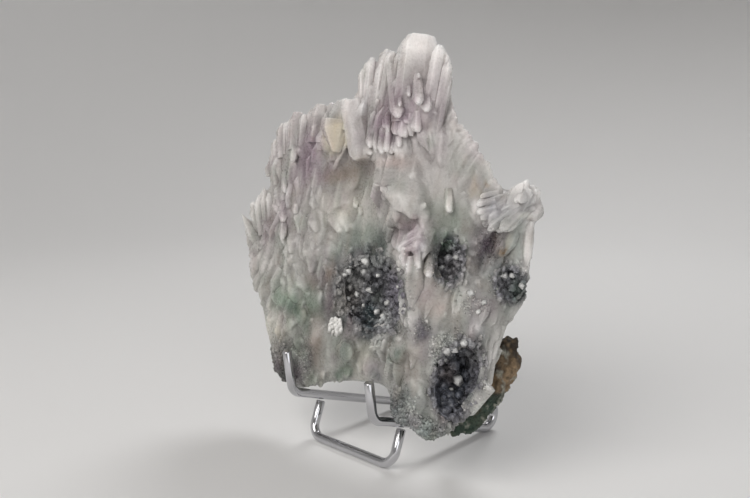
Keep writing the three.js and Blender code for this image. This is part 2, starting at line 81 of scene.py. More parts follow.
def add_camera():
    data = bpy.data.cameras.new("camera")
    data.sensor_width = 36
    data.lens = CAMERA_LENS
    data.clip_start = 0.01
    camera = bpy.data.objects.new("camera", data)
    camera.location = CAMERA_PLACE
    camera.rotation_euler = (math.radians(90 - CAMERA_PITCH), 0, math.radians(CAMERA_YAW))
    bpy.context.scene.collection.objects.link(camera)
    bpy.context.scene.camera = camera


def add_area_light(name, place, target, size, power, colour=(1, 1, 1)):
    data = bpy.data.lights.new(name, "AREA")
    data.shape = "DISK"
    data.size = size
    data.energy = power
    data.color = colour
    light = bpy.data.objects.new(name, data)
    light.location = place
    light.rotation_euler = (Vector(target) - Vector(place)).to_track_quat("-Z", "Y").to_euler()
    bpy.context.scene.collection.objects.link(light)


def floor_material():
    material = bpy.data.materials.new("pale_floor")
    material.use_nodes = True
    shader = material.node_tree.nodes["Principled BSDF"]
    shader.inputs["Base Color"].default_value = (*FLOOR_GREY, 1)
    shader.inputs["Roughness"].default_value = 0.6
    return material


def add_stage():
    """A round pale floor whose edge sweeps up all round, so that every view has the same plain ground."""
    turns = BACKDROP_TURNS
    profile = [(0.0, 0.0), (BACKDROP_DISTANCE - BACKDROP_RADIUS, 0.0)]
    for step in range(1, SWEEP_STEPS + 1):
        angle = step / SWEEP_STEPS * math.pi / 2
        profile.append((
            BACKDROP_DISTANCE - BACKDROP_RADIUS + BACKDROP_RADIUS * math.sin(angle),
            BACKDROP_RADIUS - BACKDROP_RADIUS * math.cos(angle),
        ))
    profile.append((BACKDROP_DISTANCE, BACKDROP_HEIGHT))
    points = [(0.0, 0.0, 0.0)]
    for radius, height in profile[1:]:
        for turn in range(turns):
            angle = turn / turns * 2 * math.pi
            points.append((radius * math.cos(angle), radius * math.sin(angle), height))
    faces = [(0, 1 + turn, 1 + (turn + 1) % turns) for turn in range(turns)]
    for ring in range(len(profile) - 2):
        low, high = 1 + ring * turns, 1 + (ring + 1) * turns
        for turn in range(turns):
            after = (turn + 1) % turns
            faces.append((low + turn, high + turn, high + after, low + after))
    mesh = bpy.data.meshes.new("pale_floor")
    mesh.from_pydata(points, [], faces)
    for polygon in mesh.polygons:
        polygon.use_smooth = True
    floor = bpy.data.objects.new("pale_floor", mesh)
    mesh.materials.append(floor_material())
    bpy.context.scene.collection.objects.link(floor)


def add_light():
    world = bpy.data.worlds.new("soft_studio")
    world.use_nodes = True
    world.node_tree.nodes["Background"].inputs["Color"].default_value = (0.84, 0.85, 0.87, 1)
    world.node_tree.nodes["Background"].inputs["Strength"].default_value = 0.17
    bpy.context.scene.world = world
    middle = (0, 0.01, 0.09)
    add_area_light("key", (0.08, -0.75, 0.72), middle, 0.8, 6.0, (1.0, 0.975, 0.945))
    add_area_light("fill", (0.85, -0.45, 0.40), middle, 0.6, 1.3, (0.97, 0.98, 1.0))
    add_area_light("top_back", (-0.2, 0.6, 0.8), middle, 0.4, 3.0, (1.0, 1.0, 1.0))
    bpy.context.scene.view_settings.view_transform = "Standard"


# ---------------------------------------------------------------------------
# Face coordinates
# ---------------------------------------------------------------------------

LEAN = math.radians(12)
FACE_FOOT = (-8.0, 20.0)         # y and z of the face's origin
FOCUS = (264.0, 78.0, 263.0)     # what stands out moves along a line to here


def face_points(a, b, w):
    """World places of face points; a, b and w are numbers or arrays."""
    share = np.asarray(w, float) / FOCUS[2]
    across = a + (FOCUS[0] - a) * share
    up = b + (FOCUS[1] - b) * share
    y = FACE_FOOT[0] + up * math.sin(LEAN) - w * math.cos(LEAN)
    z = FACE_FOOT[1] + up * math.cos(LEAN) + w * math.sin(LEAN)
    return np.stack([across * MM, y * MM, z * MM], axis=-1)


def face_coordinates(places):
    """The (a, b, w) of world places, the inverse of face_points."""
    x, y, z = (np.asarray(places, float) / MM).T
    y = y - FACE_FOOT[0]
    z = z - FACE_FOOT[1]
    up = y * math.sin(LEAN) + z * math.cos(LEAN)
    w = -y * math.cos(LEAN) + z * math.sin(LEAN)
    share = w / FOCUS[2]
    a = (x - FOCUS[0] * share) / (1 - share)
    b = (up - FOCUS[1] * share) / (1 - share)
    return a, b, w


# ---------------------------------------------------------------------------
# Mesh helpers
# ---------------------------------------------------------------------------

class Solids:
    """Closed forms gathered into one mesh."""

    def __init__(self):
        self.points = []
        self.triangles = []
        self.count = 0

    def add(self, points, triangles):
        self.points.append(points)
        self.triangles.append(triangles + self.count)
        self.count += len(points)

    def arrays(self):
        return np.concatenate(self.points), np.concatenate(self.triangles)


def mesh_from(name, points, triangles):
    mesh = bpy.data.meshes.new(name)
    mesh.vertices.add(len(points))
    mesh.vertices.foreach_set("co", np.asarray(points, np.float32).ravel())
    mesh.loops.add(triangles.size)
    mesh.loops.foreach_set("vertex_index", triangles.astype(np.int32).ravel())
    mesh.polygons.add(len(triangles))
    mesh.polygons.foreach_set("loop_start", np.arange(0, triangles.size, 3, dtype=np.int32))
    mesh.update(calc_edges=True)
    return mesh


def arrays_from(mesh):
    """A mesh's points, and its faces as triangles."""
    mesh.calc_loop_triangles()
    points = np.empty(len(mesh.vertices) * 3, np.float32)
    mesh.vertices.foreach_get("co", points)
    triangles = np.empty(len(mesh.loop_triangles) * 3, np.int32)
    mesh.loop_triangles.foreach_get("vertices", triangles)
    return points.reshape(-1, 3).astype(float), triangles.reshape(-1, 3)


def normals_from(mesh):
    normals = np.empty(len(mesh.vertices) * 3, np.float32)
    mesh.vertices.foreach_get("normal", normals)
    return normals.reshape(-1, 3).astype(float)


def add_object(name, mesh):
    piece = bpy.data.objects.new(name, mesh)
    bpy.context.scene.collection.objects.link(piece)
    return piece


def applied(piece, *modifiers):
    """The piece's mesh with modifiers applied, each given as (type, settings)."""
    for kind, settings in modifiers:
        modifier = piece.modifiers.new(kind, kind)
        for key, value in settings.items():
            setattr(modifier, key, value)
    graph = bpy.context.evaluated_depsgraph_get()
    mesh = bpy.data.meshes.new_from_object(piece.evaluated_get(graph))
    piece.modifiers.clear()
    return mesh


def fused(name, points, triangles, voxel, smooth=0, most=None):
    """One skin around all the overlapping solids, smoothed, with at most a number of triangles."""
    piece = add_object(name, mesh_from(name, points, triangles))
    steps = [("REMESH", {"mode": "VOXEL", "voxel_size": voxel, "adaptivity": 0.0})]
    if smooth:
        steps.append(("SMOOTH", {"factor": 0.5, "iterations": smooth}))
    mesh = applied(piece, *steps)
    piece.data = mesh
    if most:
        mesh.calc_loop_triangles()
        share = most / len(mesh.loop_triangles)
        if share < 1:
            mesh = applied(piece, ("DECIMATE", {"ratio": share}))
    bpy.data.objects.remove(piece)
    return mesh


# Smooth noise on the integer lattice, worked out for whole arrays at once
def lattice_value(x, y, z, seed):
    mixed = (x * 374761393 + y * 668265263 + z * 2147483647 + seed * 144665) & 0xFFFFFFFF
    mixed = ((mixed ^ (mixed >> 13)) * 1274126177) & 0xFFFFFFFF
    return ((mixed ^ (mixed >> 16)) & 0xFFFF) / 32767.5 - 1


def noise(x, y, z, seed=0):
    """Values from -1 to 1 that change smoothly over one unit."""
    cell = [np.floor(v).astype(np.int64) for v in (x, y, z)]
    part = [v - c for v, c in zip((x, y, z), cell)]
    ease = [p * p * (3 - 2 * p) for p in part]
    total = 0
    for corner in range(8):
        steps = [(corner >> axis) & 1 for axis in range(3)]
        weight = 1
        for axis in range(3):
            weight = weight * (ease[axis] if steps[axis] else 1 - ease[axis])
        total = total + weight * lattice_value(*[cell[i] + steps[i] for i in range(3)], seed)
    return total


# ---------------------------------------------------------------------------
# Crystals
# ---------------------------------------------------------------------------

CRYSTAL_SIDES = 6


def crystal(root, tip, outward, radius, flat=0.8, taper=0.8, point=0.9, blunt=0.25, spin=0.0, slant=0.0,
            uneven=0.0, steps=0.0, parts=1, sides=CRYSTAL_SIDES):
    """A prism from root to tip that ends in a blunt pyramid. taper is its root's width as a share of its
    own, point the pyramid's length in radii, blunt its end's width, slant how far the end is shifted.
    uneven gives each side its own width and steps each of the end's corners its own height. With parts,
    the prism is cut along its length and each side in two, without changing its shape."""
    along = tip - root
    length = np.linalg.norm(along)
    along = along / length
    across = np.cross(along, outward)
    across = across / np.linalg.norm(across)
    front = np.cross(along, across)
    angles = spin + np.arange(sides) / sides * 2 * math.pi
    circle = np.outer(np.cos(angles), across) + flat * np.outer(np.sin(angles), front)
    circle *= radius * (1 + np.reshape(uneven, (-1, 1)))
    rise = np.reshape(steps, (-1, 1)) * radius * along
    end = tip + slant * radius * across
    low = root + circle * taper
    high = root + along * max(length - point * radius, 0.3 * length) + circle - rise
    rings = [low + (high - low) * i / parts for i in range(parts)]
    rings += [high, end + circle * blunt - 0.3 * rise]
    if parts > 1:
        rings = [np.stack([ring, (ring + np.roll(ring, -1, 0)) / 2], 1).reshape(-1, 3) for ring in rings]
    turns = len(rings[0])
    points = np.concatenate(rings + [root[None], end[None]])
    base, last = len(points) - 2, len(points) - 1
    triangles = []
    for i in range(turns):
        j = (i + 1) % turns
        triangles.append((base, j, i))
        for near in range(0, (len(rings) - 1) * turns, turns):
            triangles.append((near + i, near + j, near + turns + j))
            triangles.append((near + i, near + turns + j, near + turns + i))
        triangles.append(((len(rings) - 1) * turns + i, (len(rings) - 1) * turns + j, last))
    return points, np.array(triangles)


def ball(centre, radii, axes, detail_rings=7, detail_turns=10):
    """A closed ellipsoid; axes holds its three directions as rows."""
    points = [centre + radii[2] * axes[2]]
    for ring in range(1, detail_rings):
        polar = ring / detail_rings * math.pi
        for turn in range(detail_turns):
            angle = turn / detail_turns * 2 * math.pi
            offset = (
                radii[0] * math.sin(polar) * math.cos(angle) * axes[0]
                + radii[1] * math.sin(polar) * math.sin(angle) * axes[1]
                + radii[2] * math.cos(polar) * axes[2]
            )
            points.append(centre + offset)
    points.append(centre - radii[2] * axes[2])
    triangles = []
    last = len(points) - 1
    for turn in range(detail_turns):
        after = (turn + 1) % detail_turns
        triangles.append((0, 1 + turn, 1 + after))
        base = last - detail_turns
        triangles.append((last, base + after, base + turn))
        for ring in range(detail_rings - 2):
            low = 1 + ring * detail_turns
            high = low + detail_turns
            triangles.append((low + turn, high + turn, high + after))
            triangles.append((low + turn, high + after, low + after))
    return np.array(points), np.array(triangles)


# ---------------------------------------------------------------------------
# The flower's crystals
# ---------------------------------------------------------------------------

# Each row: root a, b, tip a, b, radius, how far root and tip stand out of the front, flatness
SLOPE = [(*line, -2, -6, 0.6) for line in (
    (29, 112, 35.4, 135, 2.6), (31, 107, 37.4, 131, 2.6), (32, 103, 39.2, 127.6, 2.6),
    (33, 99, 41, 124.6, 2.6), (34, 98, 43.6, 122.8, 2.7), (36, 96, 46, 120.6, 2.7),
    (38, 94, 49, 118.6, 2.8), (40, 92, 52.6, 115.8, 2.8), (43, 90, 56.2, 111.6, 2.8),
    (46, 88, 59.4, 109, 2.7), (49, 86, 61.2, 106.4, 2.6), (52, 84, 63.6, 103, 2.6),
    (56, 84, 66.4, 100.6, 2.7),
)]

SKYLINE = SLOPE + [
    # left spike and blades
    (-64, 60, -77, 71, 3.2, -3, -1, 0.6), (-66, 60, -74, 74, 2.2, -3, -2, 0.7),
    (-60, 66, -75.5, 82.5, 4.4, -5, -2, 0.5), (-60, 68, -69, 88.8, 4.6, -4, -1, 0.5),
    (-58, 68, -63.5, 87.4, 4.0, -4, -1, 0.6), (-62, 64, -72.5, 85.5, 2.4, -3, 0, 0.6),
    # upper left block
    (-61, 92, -66.3, 106.8, 2.4, -5, -4, 0.8), (-60, 98, -66, 113, 2.0, -5, -4, 0.8),
    (-57, 96, -62.5, 120.6, 3.3, -4, -2, 0.8), (-58, 86, -63.5, 104, 3.0, -4, -2, 0.8),
    (-57, 104, -58.5, 121.2, 2.4, -4, -3, 0.8), (-50, 102, -52, 125.8, 4.3, -3, -1, 0.8),
    (-46, 104, -47, 124.8, 3.0, -4, -2, 0.8), (-42, 106, -42.5, 127.6, 2.4, -4, -3, 0.8),
    (-37, 104, -37.2, 129.4, 4.2, -3, -1, 0.8), (-30, 108, -30.5, 130.8, 3.4, -7, -6, 0.8),
    (-26, 110, -25.2, 131.2, 2.8, -6, -5, 0.8), (-22, 112, -22, 132, 3.8, -4, -2, 0.8),
    (-17, 112, -16.8, 131.8, 4.0, -4, -2, 0.8), (-13, 112, -13.4, 128.5, 2.2, -4, -3, 0.8),
    # left side of the top spray
    (-7, 116, -12.6, 137, 3.2, -5, -4, 0.7), (-8, 114, -14.2, 132.4, 2.4, -5, -4, 0.7),
    (-5, 126, -14.6, 144.0, 1.9, -5, -3, 0.8), (-4, 128, -11.4, 147, 2.2, -4, -3, 0.8),
    (-4, 128, -9.8, 149.0, 2.0, -4, -2, 0.8), (-3, 128, -6.2, 142.0, 1.9, -4, -2, 0.8),
    (-2, 130, -4.4, 146.0, 1.5, -3, -2, 0.8), (-1, 130, -2, 152.4, 2.6, -3, -1, 0.8),
    (1, 130, 1.2, 151.8, 2.6, -3, -1, 0.8), (5, 134, 5.3, 151, 1.7, -5, -4, 0.8),
    # tallest crystals
    (16.8, 120, 16.4, 154.0, 7.4, -3, -1, 0.34), (17, 116, 17, 149, 7.8, -4, -1.6, 0.34),
    (1.6, 122, 0.8, 145, 5.6, -3, -2, 0.34), (-5, 118, -8, 139, 6.0, -4, -3, 0.34),
    (28.4, 116, 29.4, 148, 6.0, -4, -2, 0.34), (24, 112, 25, 138, 6.4, -4, -2.4, 0.34),
    (9.4, 130, 8.8, 155.6, 3.4, -4, -2.6, 0.6), (13.5, 128, 14.3, 158.3, 4.6, -4, -2.4, 0.6),
    (18, 130, 19.0, 156.8, 4.4, -4, -2.4, 0.6), (20, 128, 22.3, 154.4, 3.0, -4, -2.6, 0.6),
    (25, 130, 27.6, 153.3, 3.0, -3, -1, 0.8), (27, 128, 30.6, 150.6, 2.7, -4, -2, 0.8),
    (28, 124, 33.2, 146, 2.5, -5, -3, 0.8), (29, 120, 34.5, 141, 2.3, -6, -4, 0.8),
    # right wing
    (71, 86, 77.4, 104, 3.0, -3, -1, 0.8), (72, 84, 74, 101.6, 2.8, -3, -2, 0.8),
    (75, 86, 80.8, 102.4, 2.4, -3, -2, 0.8), (76, 85, 82.8, 101.2, 2.4, -4, -3, 0.8),
    (75, 86, 83.6, 96.4, 2.6, -4, -3, 0.8), (74, 88, 84.2, 93.8, 2.4, -4, -3, 0.8),
    (72, 90, 82.6, 90.8, 2.0, -4, -3, 0.8),
]

# Long points at the left edge
SPIKES = [
    (-65, 61, -80, 73.6, 2.6, -3, -1, 0.6), (-62, 66, -76.4, 84, 3.4, -4, -1.6, 0.5),
    (-61, 70, -70, 90.4, 3.4, -3, -1, 0.5), (-60, 72, -65, 88.6, 2.8, -3, -1, 0.6),
]

BOSS = [
    (17, 114, 16.4, 86.4, 8.4, -5, 2.6, 0.4), (22, 116, 23.6, 84, 8.8, -5, 3.4, 0.4),
    (13, 106, 10.6, 90, 4.6, -3, 1.8, 0.6), (28, 106, 29.6, 84, 4.8, -4, 1.6, 0.6),
    (20, 92, 20.6, 80, 5.6, -2, 0.8, 0.6), (27, 92, 28.8, 79.4, 5.6, -2, 1.0, 0.6),
    (32, 94, 32.4, 83.4, 2.6, -1, 1.4, 0.8),
    # long slanting blade
    (-18.6, 131, -6.0, 106.6, 4.8, -2, 1.6, 0.36),
]

FRONT_CRYSTALS = BOSS + [
    # beside the long slanting blade
    (-16, 124, -2.6, 106.6, 3.6, -2, 3.5, 0.6),
    # lilac lumps below the upper left block
    (-28, 116, -29.5, 97.5, 7.0, -3, 1.6, 0.6), (-38, 121, -38.5, 107, 4.6, -2, 2.2, 0.8),
    (-23, 112, -23, 98.6, 4.4, -3, 1.0, 0.7), (-46, 118, -44, 104, 4.6, -2, 1.2, 0.8),
    (-50, 88, -51, 106, 2.3, -1, 2.4, 0.8), (-53.2, 98, -55.2, 88.4, 2.0, 0, 2.6, 0.9),
    (-59, 112, -57, 94, 3.4, -2, 1.2, 0.8), (-57, 92, -56, 78, 3.4, -2, 1.0, 0.8),
    # tips that hang under the top spray
    (0, 120, 0.6, 109.6, 2.2, 0, 3.4, 0.8), (3, 120, 4.6, 108.7, 2.4, 0, 3.8, 0.8),
    (7, 119, 7.4, 108.8, 1.9, 0, 3.4, 0.8), (10, 120, 10.6, 110.2, 2.2, -1, 2.8, 0.8),
    (-4, 122, -3, 110.6, 2.6, -1, 3.0, 0.8), (11, 127, 11.4, 117.2, 2.3, 0, 3.6, 0.7),
    (15, 128, 15.6, 116.4, 2.6, 0, 4.0, 0.6), (19, 128, 20.4, 118.2, 2.4, 0, 3.2, 0.6),
    (12.5, 120, 13.1, 112.4, 1.7, 0, 3.4, 0.8), (4.4, 126, 5.8, 118.2, 1.4, 1, 4.0, 0.9),
    (2.0, 124, 3.0, 119.6, 1.0, 1, 3.0, 0.9), (3.6, 144, 10.7, 124.3, 2.9, 0, 3.6, 0.7),
    (17.2, 142.4, 20.6, 129.6, 2.2, 1, 4.6, 0.7), (13.2, 139.4, 14.4, 133.0, 1.3, 0.6, 3.4, 0.9),
    (9.8, 133, 10.2, 129.0, 1.2, 2.4, 4.8, 0.9), (22, 136, 25, 126.6, 2.4, -1, 2.6, 0.7),
    (-3, 128, -3.4, 134, 1.8, -1, 2.0, 0.9), (30, 140, 28, 131, 2.4, -1, 2.0, 0.7),
    # blades under the boss
    (36, 81, 21.2, 71.0, 2.2, 1, 5.0, 0.4), (37, 79, 21.8, 68.2, 2.2, 1.4, 5.8, 0.4),
    (37, 77, 24.0, 66.0, 2.1, 1.8, 6.2, 0.4), (38, 76, 27.6, 66.2, 2.0, 1.4, 5.6, 0.4),
    (34, 84, 23.8, 74.8, 2.2, 0.6, 4.2, 0.4), (38.5, 77, 31.6, 67.4, 1.9, 1, 4.8, 0.4),
    (38, 82, 34, 72.4, 2.0, 0.4, 4.0, 0.5), (36, 84, 29.5, 76, 1.9, 0.2, 3.6, 0.5),
    (25, 74, 26.4, 64.8, 1.7, 1, 5.4, 0.9), (31, 73, 33.4, 65.2, 1.6, 1, 4.4, 0.9),
    (19.4, 79.4, 18.8, 71.4, 1.9, 0, 3.4, 0.8), (21.8, 78, 21.4, 70.2, 1.8, 0, 3.6, 0.8),
    (16.8, 77, 16.4, 69, 1.7, 0, 2.6, 0.8), (15, 84, 14.4, 75.6, 2.8, -1, 2.4, 0.7),
    (38.4, 70, 38.9, 63.2, 2.0, 0, 3.6, 0.9),
    # middle left: rounded fingers that hang
    (-15, 88, -14, 74.6, 6.4, -3, 2.6, 0.7), (-9, 88, -9.4, 75.4, 4.2, -2, 2.2, 0.7),
    (-20, 86, -19.4, 77, 3.8, -2, 2.0, 0.8), (-37, 86, -37.4, 71.4, 5.6, -3, 2.4, 0.7),
    (-28, 88, -29.4, 73, 4.6, -3, 1.8, 0.7), (-26, 73, -26.8, 55.4, 4.8, -2, 3.2, 0.75),
    (-15.4, 69, -15.4, 54.6, 3.4, -2, 2.6, 0.8), (-21, 70, -20.8, 59, 2.8, -2, 1.4, 0.8),
    (-51.4, 79, -53, 67.4, 3.3, -1, 2.8, 0.8), (-51, 88, -51.8, 78.4, 3.2, -1, 2.8, 0.85),
    (-55.5, 88, -57, 80.4, 2.6, -1, 2.0, 0.85), (-45, 86, -44.4, 80.8, 2.0, -1, 1.8, 0.9),
    (-46, 78, -47, 64, 4.0, -3, 1.4, 0.7), (-40, 76, -42, 62, 4.4, -3, 1.6, 0.7),
    (-34, 74, -34.6, 60.4, 3.8, -3, 1.4, 0.7), (-60, 76, -62, 60, 3.6, -2, 1.2, 0.7),
    (-67, 66, -67.4, 50.6, 3.2, -1, 2.4, 0.8), (-70, 62, -71, 55.4, 1.9, -1, 1.6, 0.8),
    (-60, 60, -60.6, 53.6, 2.2, -1, 1.6, 0.8), (-56, 66, -57, 54, 3.4, -2, 1.4, 0.7),
    # pointed leaves
    (-43, 62, -33.6, 41, 4.0, -2, 2.8, 0.45), (-37, 60, -30.6, 46.4, 3.4, -2, 2.6, 0.5),
    (-48, 60, -40, 44.6, 3.8, -2, 1.6, 0.5), (-50, 52, -46, 38.4, 4.2, -2, 1.4, 0.6),
    # lower left
    (-58, 54, -64.4, 41.4, 3.6, -1, 0.6, 0.6), (-55, 50, -60, 37.6, 3.4, -1, 0.8, 0.6),
    (-52, 46, -55.6, 33.8, 3.4, -1, 0.8, 0.6), (-46, 40, -49, 27.4, 3.8, -1, 1.0, 0.6),
    (-40, 36, -42.8, 22.6, 3.6, -1, 1.0, 0.7), (-22.5, 49, -23, 38.6, 5.0, -3, 1.8, 0.8),
    (-30, 44, -31, 33, 3.6, -2, 1.4, 0.8), (-16, 48, -15.6, 38, 3.6, -3, 1.4, 0.8),
    (-36, 33, -38.4, 19, 3.6, -2, 1.2, 0.7), (-27, 34, -29, 21, 3.4, -2, 0.8, 0.7),
    (-19.5, 40, -19, 14, 4.6, -2, 0.8, 0.6), (-13, 33, -12.4, 15, 3.8, -2, 0.8, 0.6),
    (-5, 29, -5.4, 14.4, 3.4, -2, 0.8, 0.6), (9, 34, 9.4, 19.6, 3.6, -2, 0.8, 0.6),
    (15.6, 32, 14.6, 18.6, 3.4, -2, 0.8, 0.6), (-24, 22, -23, 8.4, 3.8, -2, 0.8, 0.7),
    # the block crystal and lumps below the middle hollow
    (15.8, 29.6, 16.2, 39.8, 2.3, 1, 3.8, 0.8), (19.4, 30.6, 20.8, 41.0, 2.3, 1, 3.8, 0.8),
    (26, 39, 29, 36.2, 1.7, 0, 1.8, 0.9), (4, 33, 4.6, 37.6, 1.6, 0, 1.8, 0.9),
    # right column
    (30, 68, 27.4, 50, 2.6, 0, 1.6, 0.5), (32, 62, 30.2, 44, 2.8, 0, 1.8, 0.5),
    (31, 70, 30.6, 55, 3.0, 0, 2.4, 0.5), (35, 60, 33.4, 39.6, 3.2, -1, 1.0, 0.6),
    (40, 64, 37.4, 46.4, 4.2, -3.4, 0.2, 0.5), (53, 62, 51.6, 48.4, 3.0, -2.4, 0.4, 0.5),
    (67, 62, 64.6, 48, 3.4, -2.4, 0.4, 0.5), (40, 40, 36, 24, 4.0, -2.6, 0.4, 0.5),
    (45, 42, 43.6, 26, 3.8, -2.6, 0.4, 0.5), (46, 27, 44, 8.4, 4.6, -2, 1.4, 0.8),
    (72, 50, 71.4, 32, 2.2, 0, 1.4, 0.6), (72, 36, 70, 21, 2.0, 0, 1.0, 0.6),
    (77, 58, 72.4, 44, 2.8, -1, 0.8, 0.6), (73.6, 32, 67, 18, 3.2, 0, 1.4, 0.35),
    (71, 24, 62.6, 15.6, 2.6, 0, 1.2, 0.4),
    # grey pane and thin strip under the wing
    (80.6, 90, 82.6, 70.6, 1.7, 0, 1.4, 0.9), (78, 90, 77.4, 72, 2.8, -1, 0.2, 0.5),
    # feathered lower edge of the wing
    (80, 103, 60, 96.4, 4.4, -1, 1.4, 0.4), (82, 100, 60.6, 91.0, 4.2, -1, 1.8, 0.4),
    (83, 97, 62.4, 87.0, 3.8, -1, 2.2, 0.4), (84, 95, 66.6, 84.4, 3.2, -1, 2.2, 0.4),
    (84, 93, 73.4, 83.8, 2.8, -1, 1.8, 0.4), (81, 106, 67, 101, 3.0, -1, 1.0, 0.4),
    (70, 97, 57.4, 92.6, 1.6, 0, 2.4, 0.6), (72, 93, 59.4, 87.0, 1.6, 0, 2.6, 0.6),
    (74, 91, 63.0, 83.6, 1.5, 0, 2.6, 0.6), (62, 95, 56.2, 93.8, 1.2, 0, 2.8, 0.8),
    (62, 93, 56.4, 91.6, 1.2, 0, 2.8, 0.8), (62, 91, 56.8, 89.6, 1.2, 0, 2.6, 0.8),
    (80.4, 100.4, 73.6, 95.0, 2.2, 1, 3.6, 0.7), (79, 98, 82.4, 100.4, 1.8, 0, 2.4, 0.9),
]

# Small rounded knobs: a, b, radius, how far they stand out
KNOBS = [
    (8.2, 94.6, 1.9, 2.6), (11, 95.2, 1.5, 2.4), (31.6, 90.4, 1.5, 2.4), (-6.6, 87.6, 1.7, 1.6),
    (-3, 84.6, 1.3, 1.6), (-14, 53, 1.7, 1.2), (-44, 82, 1.8, 1.6), (20.6, 72.6, 1.1, 2.4),
    (-2.6, 130.4, 1.5, 1.4), (-40, 117.4, 1.5, 2.0), (28, 37, 1.8, 1.6), (18, 141.2, 1.4, 4.2),
    (76.6, 97, 1.6, 2.6), (82, 99.2, 1.5, 1.4), (64.8, 57.4, 1.6, 0.8), (49, 50, 1.5, 0.6),
]

# Rounded lumps: a, b, half-widths across, along and out, how far they stand out
LUMPS = [
    (0.6, 26.4, 4.6, 4.2, 3.6, 0.2), (28.4, 31.6, 4.2, 4.4, 3.6, 0.2), (35.4, 10.6, 5.2, 5.6, 5.0, -1.4),
    (42, 17, 5.4, 7.0, 5.0, -2.4), (-15, 79.4, 7.0, 5.4, 5.0, -1.0), (-22.6, 43.2, 5.4, 5.0, 4.2, 0.2),
    (-45, 42.4, 5.6, 5.4, 4.4, -0.2), (-30.6, 36, 4.4, 4.6, 4.2, 0.0), (-37.5, 48, 4.0, 4.4, 4.0, -0.6),
    (-51, 37, 4.2, 4.0, 3.8, -0.6), (-38, 31, 3.8, 4.2, 3.6, -0.4), (2.6, 18.6, 3.0, 3.4, 3.0, -0.4),
    (-1, 15.4, 2.6, 3.0, 3.0, -0.8), (-36, 14, 7.0, 7.0, 5.0, -2.4), (-8, 20, 4.0, 4.4, 3.4, -1.2),
    (22, 128, 6.0, 9.0, 4.0, -1.2), (13, 129, 9.0, 12.0, 4.0, -1.0), (-11, 100, 6.0, 8.0, 4.0, -1.6),
    (4, 110, 7.0, 6.0, 4.0, -1.6), (58, 2.6, 4.0, 3.0, 4.0, -4.0), (50, 6.4, 5.0, 3.4, 4.0, -2.4),
    (38, 20, 4.4, 4.6, 4.0, -0.8),
]

# Which way the ribs' tips point, at some places: a, b, direction across and up
FLOW = [
    (-72, 72, -1.0, 0.9), (-60, 100, -0.25, 1.0), (-45, 116, -0.1, 1.0), (-30, 119, 0.0, 1.0),
    (-8, 138, -0.3, 1.0), (2, 142, 0.0, 1.0), (16, 148, 0.05, 1.0), (31, 142, 0.2, 1.0),
    (45, 112, 0.3, 1.0), (57, 103, 0.4, 1.0), (72, 96, 0.5, 1.0), (-40, 78, -0.1, -1.0),
    (-25, 64, 0.0, -1.0), (-52, 62, -0.3, -1.0), (-62, 48, -0.6, -0.8), (-36, 52, 0.3, -1.0),
    (-42, 30, -0.4, -1.0), (-18, 26, 0.05, -1.0), (5, 28, 0.0, -1.0), (0, 96, 0.1, -1.0),
    (-20, 92, -0.1, -1.0), (20, 95, 0.1, -1.0), (38, 92, 0.2, -1.0), (38, 52, -0.15, -1.0),
    (50, 48, -0.2, -1.0), (60, 55, -0.2, -1.0), (46, 20, -0.1, -1.0), (72, 50, -0.3, -1.0),
    (76, 78, -0.1, -1.0), (12, 122, 0.15, -1.0), (30, 110, 0.2, -1.0),
]

# Smooth parts of the front: a, b, half-widths across and along, how smooth
CALM = [
    (46, 103, 18, 17, 0.7), (40, 50, 13, 26, 0.9), (5, 23, 24, 9, 0.5), (20, 93, 12, 12, 0.95),
    (-5, 98, 11, 12, 0.7), (-19, 27, 6, 14, 0.85), (66, 55, 10, 8, 0.8), (62, 78, 8, 8, 0.9),
    (-29, 104, 7, 9, 0.6), (-12, 118, 8, 10, 0.6), (-16, 83, 9, 7, 0.7), (-5, 74, 10, 8, 0.6),
    (42, 88, 10, 8, 0.8), (79, 80, 5, 11, 0.9), (45, 20, 8, 14, 0.8),
]

# Where small balls crowd on the front: a, b, half-widths across and along, number, sizes
BALLED = [
    (9, 52, 25, 20, 190, (0.9, 2.1)), (56, 33, 12, 14, 60, (0.9, 2.0)), (48, 70, 11, 12, 40, (0.8, 1.6)),
    (77, 66, 10, 8, 50, (0.8, 1.8)), (-37, 13, 9, 9, 70, (0.8, 1.8)), (-24, 17, 6, 7, 26, (0.8, 1.5)),
    (48, 6, 13, 5, 70, (0.8, 2.0)), (-31, 38, 9, 8, 46, (1.0, 2.2)), (-22, 44, 7, 6, 30, (1.0, 2.2)),
    (36, 11, 6, 7, 36, (0.9, 2.2)), (-43, 42, 6, 5, 18, (1.0, 2.0)), (-1, 66, 10, 6, 30, (0.8, 1.8)),
    (0.6, 26, 5.4, 5.0, 60, (0.8, 1.7)), (28.4, 31.6, 5, 5.2, 60, (0.8, 1.7)),
    (-12, 10.5, 20, 3.5, 80, (0.8, 2.2)), (-1, 16, 5, 4, 30, (0.7, 1.5)), (-30, 20, 6, 6, 30, (0.8, 1.6)),
    (38, 12, 8, 9, 60, (0.8, 1.8)), (39, 43, 5, 4.5, 26, (0.6, 1.2)),
    (18.6, 21.6, 3.4, 3.6, 14, (0.6, 1.2)), (65, 79, 6, 7, 60, (0.6, 1.2)),
]

# Hollows: a, b, half-widths across and along, turn in degrees
HOLLOWS = {
    "center_pocket_druse": (10.5, 52.5, 19.5, 15.5, -22),
    "lower_pocket_druse": (60, 27.5, 11, 16.5, -14),
    "small_pocket_druse": (48, 70.5, 7.8, 9.4, 15),
    "edge_pocket_druse": (77, 66, 7.5, 6.5, -10),
}


